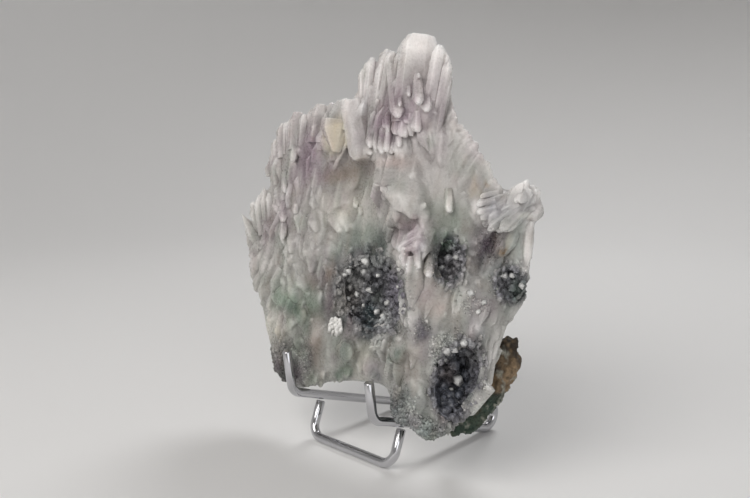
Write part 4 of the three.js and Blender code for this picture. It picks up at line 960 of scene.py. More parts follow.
# Each row: root a, b, tip a, b, radius, how far root and tip stand out, flatness, the end's length in
# radii and its width
SHARP_CRYSTALS = [
    # top spray, from right to left
    (17.0, 122, 15.6, 157.9, 8.0, -2.4, -0.9, 0.34, 0.35, 0.72),
    (26.0, 126, 27.5, 153.2, 3.2, -1.6, -0.4, 0.6, 0.9, 0.4),
    (30.8, 118, 32.4, 147.6, 2.4, -1.4, -0.4, 0.6, 1.2, 0.3),
    (32.8, 116, 34.2, 141.6, 1.8, -1.2, -0.6, 0.7, 1.2, 0.3),
    (5.2, 134, 5.3, 151.2, 1.6, -1.0, -0.2, 0.8, 1.6, 0.2),
    (1.2, 128, 1.4, 151.6, 2.4, -1.2, -0.2, 0.7, 1.2, 0.4),
    (-2.4, 130, -2.0, 152.8, 2.3, -1.2, -0.2, 0.7, 1.2, 0.4),
    (-4.6, 128, -4.6, 145.8, 1.5, -1.0, -0.2, 0.8, 1.4, 0.3),
    (-8.0, 128, -9.6, 149.4, 2.3, -1.0, -0.2, 0.8, 1.2, 0.4),
    (-9.4, 128, -12.2, 147.2, 2.1, -1.0, -0.2, 0.8, 1.2, 0.4),
    (-10.6, 126, -14.6, 144.6, 2.0, -1.0, -0.2, 0.8, 1.2, 0.4),
    (-12.6, 112, -13.6, 137.0, 3.0, -1.2, 0.0, 0.5, 1.4, 0.3),
    (-9.6, 112, -9.8, 132.0, 2.6, -1.2, 0.2, 0.5, 1.4, 0.3),
    # hanging in front of it
    (3.4, 146, 10.8, 124.2, 3.1, 0.4, 1.8, 0.5, 1.0, 0.4),
    (17.0, 143, 20.6, 129.8, 2.1, 0.4, 2.0, 0.7, 0.8, 0.5),
    (13.2, 140, 14.4, 133.0, 1.2, -0.2, 1.0, 0.9, 0.8, 0.5),
    (9.8, 133.4, 10.2, 129.0, 0.9, 0.8, 2.0, 0.9, 0.9, 0.4),
    (4.3, 125.4, 5.8, 118.3, 1.4, 0.2, 1.8, 0.8, 1.4, 0.2),
    (12.4, 117.6, 13.1, 112.5, 1.3, -0.2, 1.4, 0.8, 1.0, 0.4),
    (10.4, 126, 10.6, 117.2, 2.2, -0.6, 1.2, 0.6, 0.6, 0.6),
    (14.0, 126, 14.4, 116.4, 2.3, -0.6, 1.4, 0.6, 0.6, 0.6),
    (17.6, 126, 18.6, 116.9, 2.2, -0.6, 1.4, 0.6, 0.9, 0.4),
    (21.0, 127, 22.2, 118.6, 2.0, -0.6, 1.0, 0.6, 0.6, 0.6),
    (23.4, 136, 25.0, 127.0, 2.2, -0.8, 0.8, 0.6, 0.9, 0.4),
    (0.2, 119, 0.4, 110.6, 1.7, -0.4, 1.2, 0.7, 0.9, 0.4),
    (3.2, 119, 3.8, 109.2, 1.9, -0.4, 1.4, 0.7, 0.9, 0.4),
    (6.4, 119, 6.9, 110.0, 1.7, -0.4, 1.4, 0.7, 0.6, 0.6),
    (9.2, 118, 9.8, 109.4, 1.8, -0.4, 1.2, 0.7, 0.9, 0.4),
    (-3.2, 121, -3.0, 111.4, 2.0, -0.6, 0.8, 0.7, 0.9, 0.4),
    (-2.4, 127.4, -2.6, 131.8, 1.5, -0.4, 0.8, 0.9, 0.8, 0.5),
    # slanting blade and cream block
    (-18.6, 131.0, -6.0, 106.4, 4.9, -0.6, 1.6, 0.36, 0.5, 0.6),
    (-9.0, 117, -1.8, 108.6, 2.4, -0.6, 1.2, 0.5, 0.8, 0.5),
    (-25.6, 122, -25.0, 108.4, 7.2, 1.4, 2.8, 0.5, 1.2, 0.28),
    # upper left block
    (-22.6, 118, -21.6, 131.8, 3.0, -1.6, -0.2, 0.6, 0.7, 0.6),
    (-16.8, 118, -16.4, 131.6, 3.4, -1.6, -0.2, 0.5, 0.4, 0.7),
    (-36.6, 112, -37.2, 129.4, 4.2, -1.6, -0.2, 0.6, 0.9, 0.5),
    (-50.4, 108, -52.4, 125.6, 4.4, -1.4, -0.2, 0.6, 1.0, 0.4),
    (-46.0, 108, -47.2, 124.8, 2.6, -1.4, -0.2, 0.6, 1.0, 0.4),
    (-58, 104, -62.2, 120.4, 3.3, -1.4, -0.2, 0.7, 1.2, 0.3),
    (-56.4, 106, -59.0, 121.0, 2.0, -1.2, -0.2, 0.7, 1.2, 0.3),
    (-63, 94, -66.0, 112.6, 1.8, -1.2, -0.4, 0.7, 1.2, 0.3),
    (-50.8, 110, -51.0, 103.0, 2.0, -0.4, 1.2, 0.8, 0.8, 0.5),
    (-55.2, 98, -53.2, 88.4, 1.9, -0.4, 1.4, 0.9, 1.0, 0.4),
    (-51.6, 84, -52.0, 75.4, 2.4, -0.6, 1.4, 0.8, 0.8, 0.5),
    (-50.8, 76, -50.8, 67.4, 2.2, -0.6, 1.2, 0.8, 1.2, 0.3),
    # left blades and spike
    (-64, 62, -83.2, 76.4, 3.2, -1.4, -0.6, 0.6, 4.4, 0.03),
    (-66, 66, -75.6, 82.0, 2.4, -1.2, -0.4, 0.6, 1.6, 0.2),
    (-64, 68, -72.5, 86.0, 2.6, -1.2, -0.2, 0.5, 1.2, 0.3),
    (-61, 70, -69.0, 90.4, 2.6, -1.2, -0.2, 0.5, 2.6, 0.05),
    (-59, 70, -64.4, 87.8, 2.4, -1.2, -0.2, 0.5, 1.2, 0.4),
    # blades under the boss
    (35.6, 80, 21.0, 71.2, 2.4, -0.4, 2.4, 0.4, 0.7, 0.5),
    (36.4, 77, 22.6, 67.8, 2.2, -0.4, 2.6, 0.4, 0.7, 0.5),
    (36.8, 75.4, 26.6, 66.0, 1.9, -0.4, 2.2, 0.4, 0.9, 0.4),
    (25, 73, 26.2, 65.0, 1.7, 0, 2.2, 0.8, 0.7, 0.6), (38.3, 71, 38.9, 63.2, 2.0, -0.4, 1.4, 0.8, 0.9, 0.5),
    (42.3, 97.4, 44.2, 88.6, 2.0, -0.4, 2.0, 0.8, 0.7, 0.6),
    (15.4, 80, 14.8, 73.6, 1.7, -0.4, 1.0, 0.8, 1.0, 0.3),
    (31.4, 72, 33.2, 65.6, 1.5, -0.2, 1.4, 0.8, 0.9, 0.4),
    # plates and feathered edge of the wing
    (72, 95, 59.6, 87.6, 2.3, -1.0, 1.0, 0.4, 0.9, 0.4),
    (75, 95, 61.0, 85.4, 2.2, -0.8, 1.4, 0.4, 0.9, 0.4),
    (78, 96, 64.0, 83.6, 2.2, -0.6, 1.8, 0.4, 0.9, 0.4),
    (80, 96, 69.0, 84.4, 2.3, -0.6, 1.8, 0.4, 0.9, 0.4),
    (81, 95, 72.0, 84.6, 1.8, -0.6, 1.6, 0.5, 0.9, 0.4),
    (82, 95, 74.0, 87.0, 1.8, -0.6, 1.2, 0.5, 0.9, 0.4),
    (66, 97.8, 57.6, 95.6, 1.6, -0.4, 1.4, 0.7, 0.7, 0.5),
    (65, 94.8, 56.6, 92.6, 1.6, -0.4, 1.6, 0.7, 0.7, 0.5),
    (66, 92.2, 57.4, 89.6, 1.6, -0.4, 1.6, 0.7, 0.7, 0.5),
    (80.0, 100.6, 74.8, 95.4, 2.2, 0, 1.4, 0.6, 0.7, 0.5),
    (71, 90, 75.6, 102.2, 3.2, -1.4, -0.2, 0.5, 0.9, 0.3),
    (75, 90, 79.0, 100.4, 2.4, -1.0, 0.0, 0.6, 0.7, 0.5),
    (75, 92, 81.6, 98.4, 2.4, -1.0, -0.4, 0.6, 0.7, 0.5),
    (76, 93, 82.8, 93.8, 2.2, -1.0, -0.4, 0.6, 0.7, 0.5),
    # pale rim and plate at the lower right
    (76.6, 51, 73.6, 38.4, 1.6, -0.4, 0.4, 0.5, 0.6, 0.6),
    (73.8, 41, 73.8, 28.4, 1.7, -0.4, 0.4, 0.5, 0.6, 0.6),
    (74.6, 29, 66.2, 17.4, 3.2, -0.4, 1.0, 0.28, 0.3, 0.8),
    # leaves of the right column
    (29.6, 66, 27.0, 49.4, 2.2, -0.8, 0.8, 0.4, 1.6, 0.2),
    (31.2, 60, 29.2, 43.6, 2.3, -0.8, 0.8, 0.4, 1.6, 0.2),
    (34.6, 62, 33.0, 45.4, 2.2, -1.0, 0.3, 0.4, 1.6, 0.2),
    (43, 62, 40.6, 47.0, 2.4, -1.2, 0.1, 0.4, 1.8, 0.2),
    (55, 64, 53.4, 51.4, 2.0, -1.0, 0.2, 0.4, 1.8, 0.2), (68, 60, 66, 49.4, 2.2, -1.0, 0.2, 0.4, 1.8, 0.2),
    (47, 46, 45.6, 34.0, 2.0, -1.0, 0.2, 0.4, 1.8, 0.2),
    (39, 38, 37.0, 27.0, 2.2, -1.0, 0.2, 0.4, 1.8, 0.2),
    # block below the middle hollow
    (15.8, 30.4, 16.2, 39.8, 2.2, -0.4, 1.4, 0.8, 0.4, 0.8),
    (19.4, 31.4, 20.8, 41.0, 2.2, -0.4, 1.4, 0.8, 0.4, 0.8),
    # long crystals on the middle hollow's right, strip under the wing
    (30.4, 70, 33.0, 50, 4.0, -1.2, 0.2, 0.4, 1.8, 0.2),
    (33.0, 56, 37.0, 37, 3.6, -1.2, 0.0, 0.4, 1.8, 0.2),
    (81.0, 89, 82.4, 73.5, 2.0, -0.8, -0.4, 0.5, 1.4, 0.3),
    # light ones here and there
    (-43.6, 80, -44.6, 84.4, 1.5, -0.4, 0.9, 0.9, 0.7, 0.5),
    (-7, 89.6, -6.2, 86.0, 1.5, -0.4, 0.9, 0.9, 0.7, 0.5),
    (-3.6, 86.2, -2.8, 83.4, 1.1, -0.4, 0.9, 0.9, 0.7, 0.5),
    (-39.6, 113.6, -40.2, 118.6, 1.5, -0.4, 1.0, 0.9, 0.7, 0.5),
]


def skin_depth(front, row, share):
    """Depth of the skin at a share of the way along a row, or a little before it at the skin's edge."""
    for back in (0, 0.15, 0.3, 0.5):
        at = max(share - back, 0)
        depth = front.depth(row[0] + at * (row[2] - row[0]), row[1] + at * (row[3] - row[1]))
        if depth is not None:
            return depth
    return 0.0


# Blades nearly flush with the front: how many are tried, their radii and lengths
BLADES = 300
BLADE_RADII = (1.8, 4.2)
BLADE_LENGTHS = (7, 13)


def flush_blades(front, random):
    """Rows for blades along the growth, away from the hollows, the balls and the listed crystals."""
    rows = []
    for _ in range(BLADES):
        tip = np.array([random.uniform(-74, 82), random.uniform(12, 142)])
        direction = flow_at(*tip) + random.normal(0, 0.12, 2)
        root = tip - direction * random.uniform(*BLADE_LENGTHS)
        balled = any(((tip[0] - a) / across) ** 2 + ((tip[1] - b) / along) ** 2 < 0.8
                     for a, b, across, along, *_ in BALLED)
        if balled or least_hollow_share(*tip) < 1.2 or least_hollow_share(*root) < 1.0:
            continue
        if along_sharp(*tip[:, None]) > 0.2 or random.random() > calm_share(*tip) ** 1.5:
            continue
        if front.depth(*tip) is None or front.depth(*root) is None:
            continue
        radius, flat = random.uniform(*BLADE_RADII), random.uniform(0.3, 0.4)
        rows.append((
            *root, *tip, radius, -flat * radius - 0.6, -flat * radius + random.uniform(0.4, 1.0), flat,
            random.uniform(0.6, 1.5), random.uniform(0.15, 0.45),
        ))
    return rows


def with_sharp_crystals(mesh):
    """The flower's mesh joined with crystals whose facets are still sharp, half grown into it."""
    random = np.random.default_rng(57)
    front = Front(*arrays_from(mesh))
    group = bpy.data.collections.new("sharp_crystals")
    for row in SHARP_CRYSTALS + flush_blades(front, random):
        root_a, root_b, tip_a, tip_b, radius, root_out, tip_out, flat, point, blunt = row
        root = face_points(root_a, root_b, skin_depth(front, row, 0.0) + root_out)
        tip = face_points(tip_a, tip_b, skin_depth(front, row, 0.9) + tip_out)
        outward = face_points(root_a, root_b, 10.0) - face_points(root_a, root_b, 0.0)
        points, triangles = crystal(
            root, tip, outward, radius * MM, flat, random.uniform(0.85, 1.0), point, blunt,
            random.uniform(-0.2, 0.2), random.uniform(-0.15, 0.15), random.uniform(-0.10, 0.10, 6),
            random.uniform(0, 0.5, 6), parts=4 + int(radius),
        )
        one = bpy.data.objects.new("sharp", mesh_from("sharp", points, triangles))
        bevel = one.modifiers.new("bevel", "BEVEL")
        bevel.width = 0.2 * MM
        bevel.segments = 2
        bevel.angle_limit = math.radians(25)
        group.objects.link(one)
    body = add_object("body", mesh)
    joined = applied(body, ("BOOLEAN", {
        "operation": "UNION", "solver": "MANIFOLD", "operand_type": "COLLECTION", "collection": group,
    }))
    for one in list(group.objects) + [body]:
        bpy.data.objects.remove(one)
    bpy.data.collections.remove(group)
    return joined


# ---------------------------------------------------------------------------
# The flower's mesh
# ---------------------------------------------------------------------------

OUTWARD = np.array([0.35, -0.93, 0.1])     # roughly how the specimen's front faces
CORE_VOXEL = 1.6 * MM
FINE_VOXEL = 0.45 * MM
GROOVE_ROUNDS = 140               # how wide the grooves are that growth has filled
GROOVE_FILL = 0.75                # and how much of them
CREASE_ROUNDS = 50                # how wide the creases are that get painted shade, and the edges painted highlight
MOST_TRIANGLES = 130_000          # before the sharp crystals are joined
SHARP_ANGLE = math.radians(55)


def smooth_core():
    """The solid's form with its facets and crystals melted down."""
    points, triangles = arrays_from(frame["nodes"]["crystal_flower"].data)
    return arrays_from(fused("core", points, triangles, CORE_VOXEL, smooth=10))


def build_flower(core):
    random = np.random.default_rng(7)
    front = Front(*core)
    solids = Solids()
    solids.add(*core)
    for row in SKYLINE:
        wide = row[4] >= 3.6 or row in SLOPE
        if row[4] >= 3.6:
            row = (*row[:7], 0.7 * row[7])
        crowd, blunt = (0.35, 0.45) if wide else (0.8, 0.2)
        bundle(solids, front, row, random, shorter=(0.1, 0.5), crowd=crowd, blunt=blunt)
    for row, after in zip(SLOPE, SLOPE[1:]):
        between = [(value + value_after) / 2 for value, value_after in zip(row, after)]
        between[2:4] = [between[2] - 0.5, between[3] - 0.8]
        bundle(solids, front, between, random, crowd=0, blunt=0.5)
    for row in FRONT_CRYSTALS:
        relief = float(np.interp(row[4], (2.4, 3.2), (0.95, 0.42)))
        if row in BOSS or (row[0] > 60 and row[1] > 82):
            relief = 1.0
        bundle(solids, front, row, random, crowd=0.6 * calm_share(row[2], row[3]), relief=relief)
    for a, b, radius, out in KNOBS:
        add_lump(solids, front, (a, b, radius, radius, radius, out - 0.4 * radius))
    for row in LUMPS:
        add_lump(solids, front, row)
    add_balls(solids, front, random)
    break_rims(solids, front, random)
    ribs(solids, front, random, 190, (-72, 82), (8, 146), (1.6, 4.8), (14, 34), 1, (-0.8, -0.4))
    ribs(solids, front, random, 60, (-70, 80), (8, 146), (1.0, 2.2), (8, 16), 1, (-0.3, 0.2))
    for row in SPIKES:
        face_crystal(solids, front, row, random, point=3.2, blunt=0.06)
    ribs(solids, front, random, 420, (-68, 80), (10, 146), (1.8, 4.0), (10, 26), -1)
    mesh = fused("flower", *solids.arrays(), FINE_VOXEL, smooth=1)
    points, triangles = arrays_from(mesh)
    normals = normals_from(mesh)
    out = bulge(points, triangles, normals, GROOVE_ROUNDS)
    a, b, w = face_coordinates(points)
    rough = np.maximum(calm_share(a, b), near_tips(a, b)) * (normals @ OUTWARD > 0)
    out *= np.where(out < 0, 1 - GROOVE_FILL * (1.2 - 0.3 * rough), 1 - 0.5 * (1 - rough)) - 1
    points = points + normals * out[:, None]
    a, b, w = face_coordinates(points)
    leafy = 0.3 + 0.7 * calm_share(a, b)
    lift = leafy * (0.30 * leaves(a, b, w, 7.0, 17, 51) + 0.12 * leaves(a, b, w, 2.4, 6, 52))
    lift += 0.05 * (1 - 2 * np.abs(along_flow(a, b, w, 0.8, 0.09, 61)))
    lift += 0.06 * noise(a * 0.9, b * 0.9, w * 0.9, 71)
    points = points + normals * (lift * MM)[:, None]
    mesh = mesh_from("crystal_flower_visual", points, triangles)
    piece = add_object("spray_of_crystals", mesh)
    if len(triangles) > MOST_TRIANGLES:
        piece.data = applied(
            piece,
            ("DECIMATE", {"ratio": MOST_TRIANGLES / len(triangles)}),
            ("SMOOTH", {"factor": 0.35, "iterations": 2}),
        )
    piece.data = with_sharp_crystals(piece.data)
    mesh = piece.data
    points, triangles = arrays_from(mesh)
    normals = normals_from(mesh)
    convex = bulge(points, triangles, normals, CREASE_ROUNDS) / MM
    colour = paint_flower(points, normals, convex)
    set_tint(mesh, colour)
    a, b, w = face_coordinates(points)
    clear = np.clip(convex / 1.2 - 0.3, 0, 1) * near_tips(a, b)
    set_attribute(mesh, "clear", "FLOAT", clear)
    mesh.shade_smooth()
    mesh.set_sharp_from_angle(angle=SHARP_ANGLE)
    return piece


# ---------------------------------------------------------------------------
# Small crystals scattered on a skin
# ---------------------------------------------------------------------------

def tiny_crystals(places, directions, sizes, lengths, random, sides=CRYSTAL_SIDES):
    """Many closed six-sided points at once: places on a skin, each along its direction."""
    count = len(places)
    directions = directions / np.linalg.norm(directions, axis=1)[:, None]
    helper = np.where(np.abs(directions[:, 2:3]) < 0.9, [[0, 0, 1.0]], [[1.0, 0, 0]])
    across = np.cross(directions, helper)
    across /= np.linalg.norm(across, axis=1)[:, None]
    front = np.cross(across, directions)
    spin = random.uniform(0, 2 * math.pi, count)
    rings = []
    for share, reach in ((0.85, -0.6), (1.0, None)):
        for side in range(sides):
            angle = spin + side / sides * 2 * math.pi
            turned = np.cos(angle)[:, None] * across + np.sin(angle)[:, None] * front
            offset = turned * (sizes * share)[:, None]
            along = sizes * reach if reach is not None else np.maximum(lengths - sizes, 0.1 * lengths)
            rings.append(places + offset + directions * along[:, None])
    rings.append(places + directions * lengths[:, None])
    rings.append(places - directions * (sizes * 0.6)[:, None])
    points = np.stack(rings, axis=1)
    tip, base = 2 * sides, 2 * sides + 1
    pattern = []
    for i in range(sides):
        j = (i + 1) % sides
        pattern += [(base, j, i), (i, j, sides + j), (i, sides + j, sides + i), (sides + i, sides + j, tip)]
    pattern = np.array(pattern)
    triangles = pattern[None] + (np.arange(count) * (2 * sides + 2))[:, None, None]
    return points.reshape(-1, 3), triangles.reshape(-1, 3)


def spots_on(points, triangles, count, random, share=None):
    """Random places on a skin, its normals there, and the triangles they lie on. share gives each
    triangle's weight."""
    corners = points[triangles]
    crossed = np.cross(corners[:, 1] - corners[:, 0], corners[:, 2] - corners[:, 0])
    area = np.linalg.norm(crossed, axis=1)
    weight = area if share is None else area * share
    chosen = random.choice(len(triangles), count, p=weight / weight.sum())
    u, v = random.random(count), random.random(count)
    flip = u + v > 1
    u[flip], v[flip] = 1 - u[flip], 1 - v[flip]
    c = corners[chosen]
    places = c[:, 0] + u[:, None] * (c[:, 1] - c[:, 0]) + v[:, None] * (c[:, 2] - c[:, 0])
    normals = crossed[chosen] / area[chosen][:, None]
    return places, normals, chosen


def grown_small(points, triangles, weights, tints, count, size, reach, shading, random):
    """Small crystals on a skin, each tinted like the skin under it, and the tints of their points."""
    places, directions, chosen = spots_on(points, triangles, count, random, weights)
    directions = directions + random.normal(0, 0.35, directions.shape)
    sizes = random.uniform(*size, count) * MM
    crystals = tiny_crystals(places, directions, sizes, sizes * random.uniform(*reach, count), random)
    shades = tints[triangles[chosen, 0]] * random.uniform(*shading, count)[:, None]
    return crystals, np.repeat(shades, len(crystals[0]) // count, axis=0)


# Crusts: number of balls, their sizes, number of small crystals, their sizes, in millimetres
CRUSTS = {
    "center_pocket_druse": (330, (0.9, 2.0), 2600, (0.16, 0.36), 3),
    "lower_pocket_druse": (200, (1.0, 2.3), 1600, (0.16, 0.36), 5),
    "small_pocket_druse": (70, (0.8, 1.7), 700, (0.14, 0.32), 7),
    "edge_pocket_druse": (64, (0.8, 1.7), 600, (0.14, 0.32), 9),
}
CRUST_TOP = (0.120, 0.119, 0.135)
CRUST_RIM = (0.20, 0.195, 0.185)
CRUST_CREASE_ROUNDS = 20


# Towards which side each crust runs out over the flower, in degrees up from the right
OPEN_SIDES = {
    "center_pocket_druse": 175, "lower_pocket_druse": 110,
    "small_pocket_druse": -50, "edge_pocket_druse": 160,
}


def triangle_normals(points, triangles):
    corners = points[triangles]
    crossed = np.cross(corners[:, 1] - corners[:, 0], corners[:, 2] - corners[:, 0])
    return crossed / np.maximum(np.linalg.norm(crossed, axis=1), 1e-15)[:, None]


# Zones of the crusts: a, b, half-widths across and along, the colour of the balls' tops, strength
CRUST_ZONES = [
    (-2, 58, 9, 10, (0.21, 0.21, 0.205), 0.9), (-3, 47, 8, 6, (0.11, 0.10, 0.085), 0.7),
    (24, 58, 6, 9, (0.125, 0.115, 0.140), 0.9), (10, 66, 8, 4, (0.15, 0.16, 0.155), 0.8),
    (11, 43, 6, 6, (0.020, 0.034, 0.038), 0.95), (12, 56, 6, 4, (0.045, 0.048, 0.050), 0.6),
    (19, 43, 4, 4, (0.33, 0.34, 0.34), 0.9), (14, 51, 4, 3, (0.05, 0.06, 0.05), 0.7),
    (44, 76, 5, 4, (0.10, 0.15, 0.112), 0.9), (44, 71.5, 3, 2.4, (0.020, 0.024, 0.022), 0.9),
    (50, 68, 6, 7, (0.21, 0.205, 0.215), 0.9), (58, 38, 7, 6, (0.16, 0.165, 0.18), 0.8),
    (61, 27, 5, 9, (0.040, 0.048, 0.062), 0.85), (54, 20, 6, 7, (0.10, 0.11, 0.135), 0.7),
    (65, 38, 4, 4, (0.20, 0.20, 0.20), 0.7), (55, 29, 3.5, 3.5, (0.17, 0.145, 0.14), 0.7),
    (74, 68, 6, 5, (0.19, 0.19, 0.20), 0.8), (81, 64, 4, 5, (0.055, 0.085, 0.068), 0.8),
]


def paint_crust(points, convex, name, seed):
    """Each zone's colour on the balls' tops, darkened with painted shade to near black in the creases between
    them.
    """
    a, b, w = face_coordinates(points)
    height = np.clip(0.35 + convex / 0.5, 0, 1)[:, None]
    top = np.tile(np.array(CRUST_TOP), (len(points), 1))
    warp_a = a + 1.6 * noise(a / 3, b / 3, w / 3, seed + 40)
    warp_b = b + 1.6 * noise(a / 3, b / 3, w / 3, seed + 45)
    blend_zones(top, warp_a, warp_b, CRUST_ZONES)
    outer = np.clip((hollow_share(warp_a, warp_b, name) - 0.85) / 0.35, 0, 1)[:, None]
    top += (np.array(CRUST_RIM) - top) * 0.85 * outer
    top *= (1 + 0.35 * noise(a / 2, b / 2, w / 2, seed + 50))[:, None]
    # Painted shade: the creases between the balls are darkened, less so near the rim.
    crease_shade = 0.26 + 0.4 * outer
    return crease_shade * top * (1 - height) + top * height


def stray_balls(solids, front, name, count, random):
    """Balls of the crust that sit on the flower round the hollow, fewer the farther out."""
    middle_a, middle_b, *_ = HOLLOWS[name]
    open_side = math.radians(OPEN_SIDES[name])
    for _ in range(count):
        angle = random.normal(open_side, 1.3)
        uneven = 0.5 + 0.5 * math.sin(3 * angle + middle_a) * math.sin(5 * angle + middle_b)
        reach = 0.9 + 0.42 * uneven * random.random() ** 1.6
        a, b = place_on_hollow(name, angle, reach)
        radius = random.uniform(0.7, 1.6)
        add_lump(solids, front, (a, b, radius, radius, radius, random.uniform(-0.5, 0.1) * radius))


def build_crust(name, front):
    """A pocket's lining of clustered balls, with small crystals all over it."""
    balls, ball_size, count, size, seed = CRUSTS[name]
    random = np.random.default_rng(seed)
    points, triangles = arrays_from(frame["nodes"][name].data)
    solids = Solids()
    solids.add(points, triangles)
    inner = (triangle_normals(points, triangles) @ OUTWARD > 0.05) + 1e-4
    places, normals, _ = spots_on(points, triangles, balls, random, inner)
    a, b, _ = face_coordinates(places)
    rim = np.clip((hollow_share(a, b, name) - 0.55) / 0.45, 0, 1)
    radii = random.uniform(*ball_size, balls) * (1 - 0.35 * rim)
    for place, normal, radius, near_rim in zip(places, normals, radii, rim):
        raised = radius * (random.uniform(0.1, 0.9) - 0.4 * near_rim)
        solids.add(*ball(place + normal * raised * MM, np.array([radius] * 3) * MM, np.eye(3), 8, 12))
    stray_balls(solids, front, name, balls // 2, random)
    mesh = fused(name, *solids.arrays(), (0.36) * MM, most=90_000)
    points, triangles = arrays_from(mesh)
    normals = normals_from(mesh)
    points = points + normals * (0.14 * noise(*(points.T / (0.8 * MM)), seed) * MM)[:, None]
    convex = bulge(points, triangles, normals, CRUST_CREASE_ROUNDS) / MM
    colour = paint_crust(points, convex, name, seed)
    facing = np.clip(triangle_normals(points, triangles) @ OUTWARD, 0.02, 1)
    crystals, shades = grown_small(
        points, triangles, facing, colour, count, size, (1.0, 2.0), (0.85, 1.5), random,
    )
    more = Solids()
    more.add(points, triangles)
    more.add(*crystals)
    mesh = mesh_from(name + "_visual", *more.arrays())
    colour = np.concatenate([colour, shades])
    set_tint(mesh, colour)
    return add_object(name + "_crystals", mesh)


# Sparkling skins: a, b, half-widths across and along, number, sizes
SPARKLING = [
    (9, 53, 22, 18, 900, (0.2, 0.5)), (60, 27, 14, 19, 600, (0.2, 0.45)), (48, 70, 9, 10, 260, (0.2, 0.45)),
    (77, 66, 9, 7, 360, (0.2, 0.5)), (-37, 13, 9, 9, 800, (0.3, 0.75)), (-24, 17, 5, 6, 300, (0.25, 0.55)),
    (39, 43, 4.5, 4, 120, (0.2, 0.4)), (48, 6, 12, 4, 600, (0.35, 0.9)), (50, 37, 6, 5, 300, (0.25, 0.6)),
    (57, 42, 7, 3, 180, (0.25, 0.6)), (18, 43.5, 5, 4, 160, (0.3, 0.7)), (-5, 58.6, 4, 3, 130, (0.3, 0.7)),
    (62, 57, 8, 5, 90, (0.25, 0.5)), (36, 11, 7, 7, 420, (0.3, 0.8)), (60, 15, 5, 4, 160, (0.3, 0.6)),
    (65, 79, 6, 7, 300, (0.2, 0.45)), (8.6, 94.8, 3, 2, 40, (0.25, 0.5)),
]


def on_flower(flower, rows, random):
    """Small crystals on the flower's skin in the listed zones, coloured like the skin under them."""
    points, triangles = arrays_from(flower.data)
    tint = np.empty(len(points) * 4, np.float32)
    flower.data.attributes["tint"].data.foreach_get("color", tint)
    tint = tint.reshape(-1, 4)[:, :3] / ALBEDO
    a, b, _ = face_coordinates(points[triangles].mean(axis=1))
    facing = triangle_normals(points, triangles) @ OUTWARD > 0
    solids, shades = Solids(), []
    for middle_a, middle_b, across, along, count, size in rows:
        reach = ((a - middle_a) / across) ** 2 + ((b - middle_b) / along) ** 2
        share = np.exp(-1.2 * reach ** 1.5) * facing * (reach < 1.6)
        if share.sum() == 0:
            continue
        crystals, shade = grown_small(
            points, triangles, share, tint, count, size, (0.8, 1.6), (0.65, 1.45), random,
        )
        solids.add(*crystals)
        shades.append(shade)
    mesh = mesh_from("small_crystals", *solids.arrays())
    colour = np.clip(np.concatenate(shades), 0, 0.95)
    set_tint(mesh, colour)
    return add_object("small_crystals", mesh)


# White blocks on the dark crusts: a, b, half their size
WHITE_BLOCKS = [
    (4, 60.5, 1.6), (9.3, 53, 1.5), (1.8, 50.8, 1.2), (3.2, 64.6, 1.8), (-2.6, 48, 1.1), (20, 50, 1.1),
    (-4.4, 58.8, 1.3), (-7, 57.4, 1.1), (12.4, 60, 0.8), (22.6, 63.6, 1.0), (24, 57, 0.7), (6.4, 46.4, 0.8),
    (0.4, 44.6, 0.8), (14.6, 45.4, 1.3), (17.8, 44.4, 1.1), (61, 27, 1.9), (57.6, 23.6, 0.9),
    (53.6, 37.6, 1.3), (56.8, 38.4, 1.3), (60.4, 42, 1.2), (52.6, 33.8, 1.1), (77, 69, 1.2),
    (73.2, 68.6, 1.2), (81.4, 66.4, 1.1), (66.6, 57.8, 1.0), (60.4, 60.2, 1.4), (50.6, 72.4, 1.0),
    (44.6, 67.4, 0.9), (64.6, 54, 0.8),
]


def build_blocks(flower):
    """White blocks that sit on whatever skin lies under them."""
    random = np.random.default_rng(32)
    skins = Solids()
    skins.add(*arrays_from(flower.data))
    for node in HOLLOWS:
        skins.add(*arrays_from(bpy.data.objects[node + "_crystals"].data))
    front = Front(*skins.arrays())
    solids = Solids()
    cube = np.array([(x, y, z) for x in (-1, 1) for y in (-1, 1) for z in (-1, 1)], float)
    quads = [(0, 1, 3, 2), (4, 6, 7, 5), (0, 4, 5, 1), (2, 3, 7, 6), (0, 2, 6, 4), (1, 5, 7, 3)]
    triangles = np.array([t for q in quads for t in ((q[0], q[1], q[2]), (q[0], q[2], q[3]))])
    for a, b, half in WHITE_BLOCKS:
        depth = front.depth(a, b)
        if depth is None:
            continue
        for _ in range(2):
            tilt = Matrix.Rotation(random.uniform(0, 1.5), 3, "X")
            tilt = tilt @ Matrix.Rotation(random.uniform(0, 1.5), 3, "Z")
            place = face_points(a, b, depth + 0.2 * half) + random.normal(0, 0.25 * half, 3) * MM
            corners = cube * half * MM * random.uniform(0.55, 0.8, 3)
            solids.add(corners @ np.array(tilt).T + place, triangles)
    return add_object("white_blocks", mesh_from("white_blocks", *solids.arrays()))


# White calcite patch: middle a, b and half-widths
CALCITE = (-7.8, 36.4, 3.7, 3.2)
CALCITE_FLAKES = 40


def build_calcite(flower):
    random = np.random.default_rng(12)
    front = Front(*arrays_from(flower.data))
    solids = Solids()
    middle_a, middle_b, across, along = CALCITE
    for _ in range(CALCITE_FLAKES):
        turn, reach = random.uniform(0, 2 * math.pi), math.sqrt(random.uniform())
        tip_a, tip_b = middle_a + across * reach * math.sin(turn), middle_b + along * reach * math.cos(turn)
        lean = random.normal(0, 0.45) + 0.12 * (tip_a - middle_a)
        row = (
            tip_a - 2.6 * math.sin(lean), tip_b - 2.6 * math.cos(lean), tip_a, tip_b,
            random.uniform(0.5, 1.0), 0.0, random.uniform(0.5, 1.7), 0.5,
        )
        face_crystal(solids, front, row, random, point=0.7, blunt=0.4)
    return add_object("calcite_patch", mesh_from("calcite_patch", *solids.arrays()))


# ---------------------------------------------------------------------------
# Host rock
# ---------------------------------------------------------------------------

ROCK_LUMPS = 70
ROCK_CRYSTALS = 700


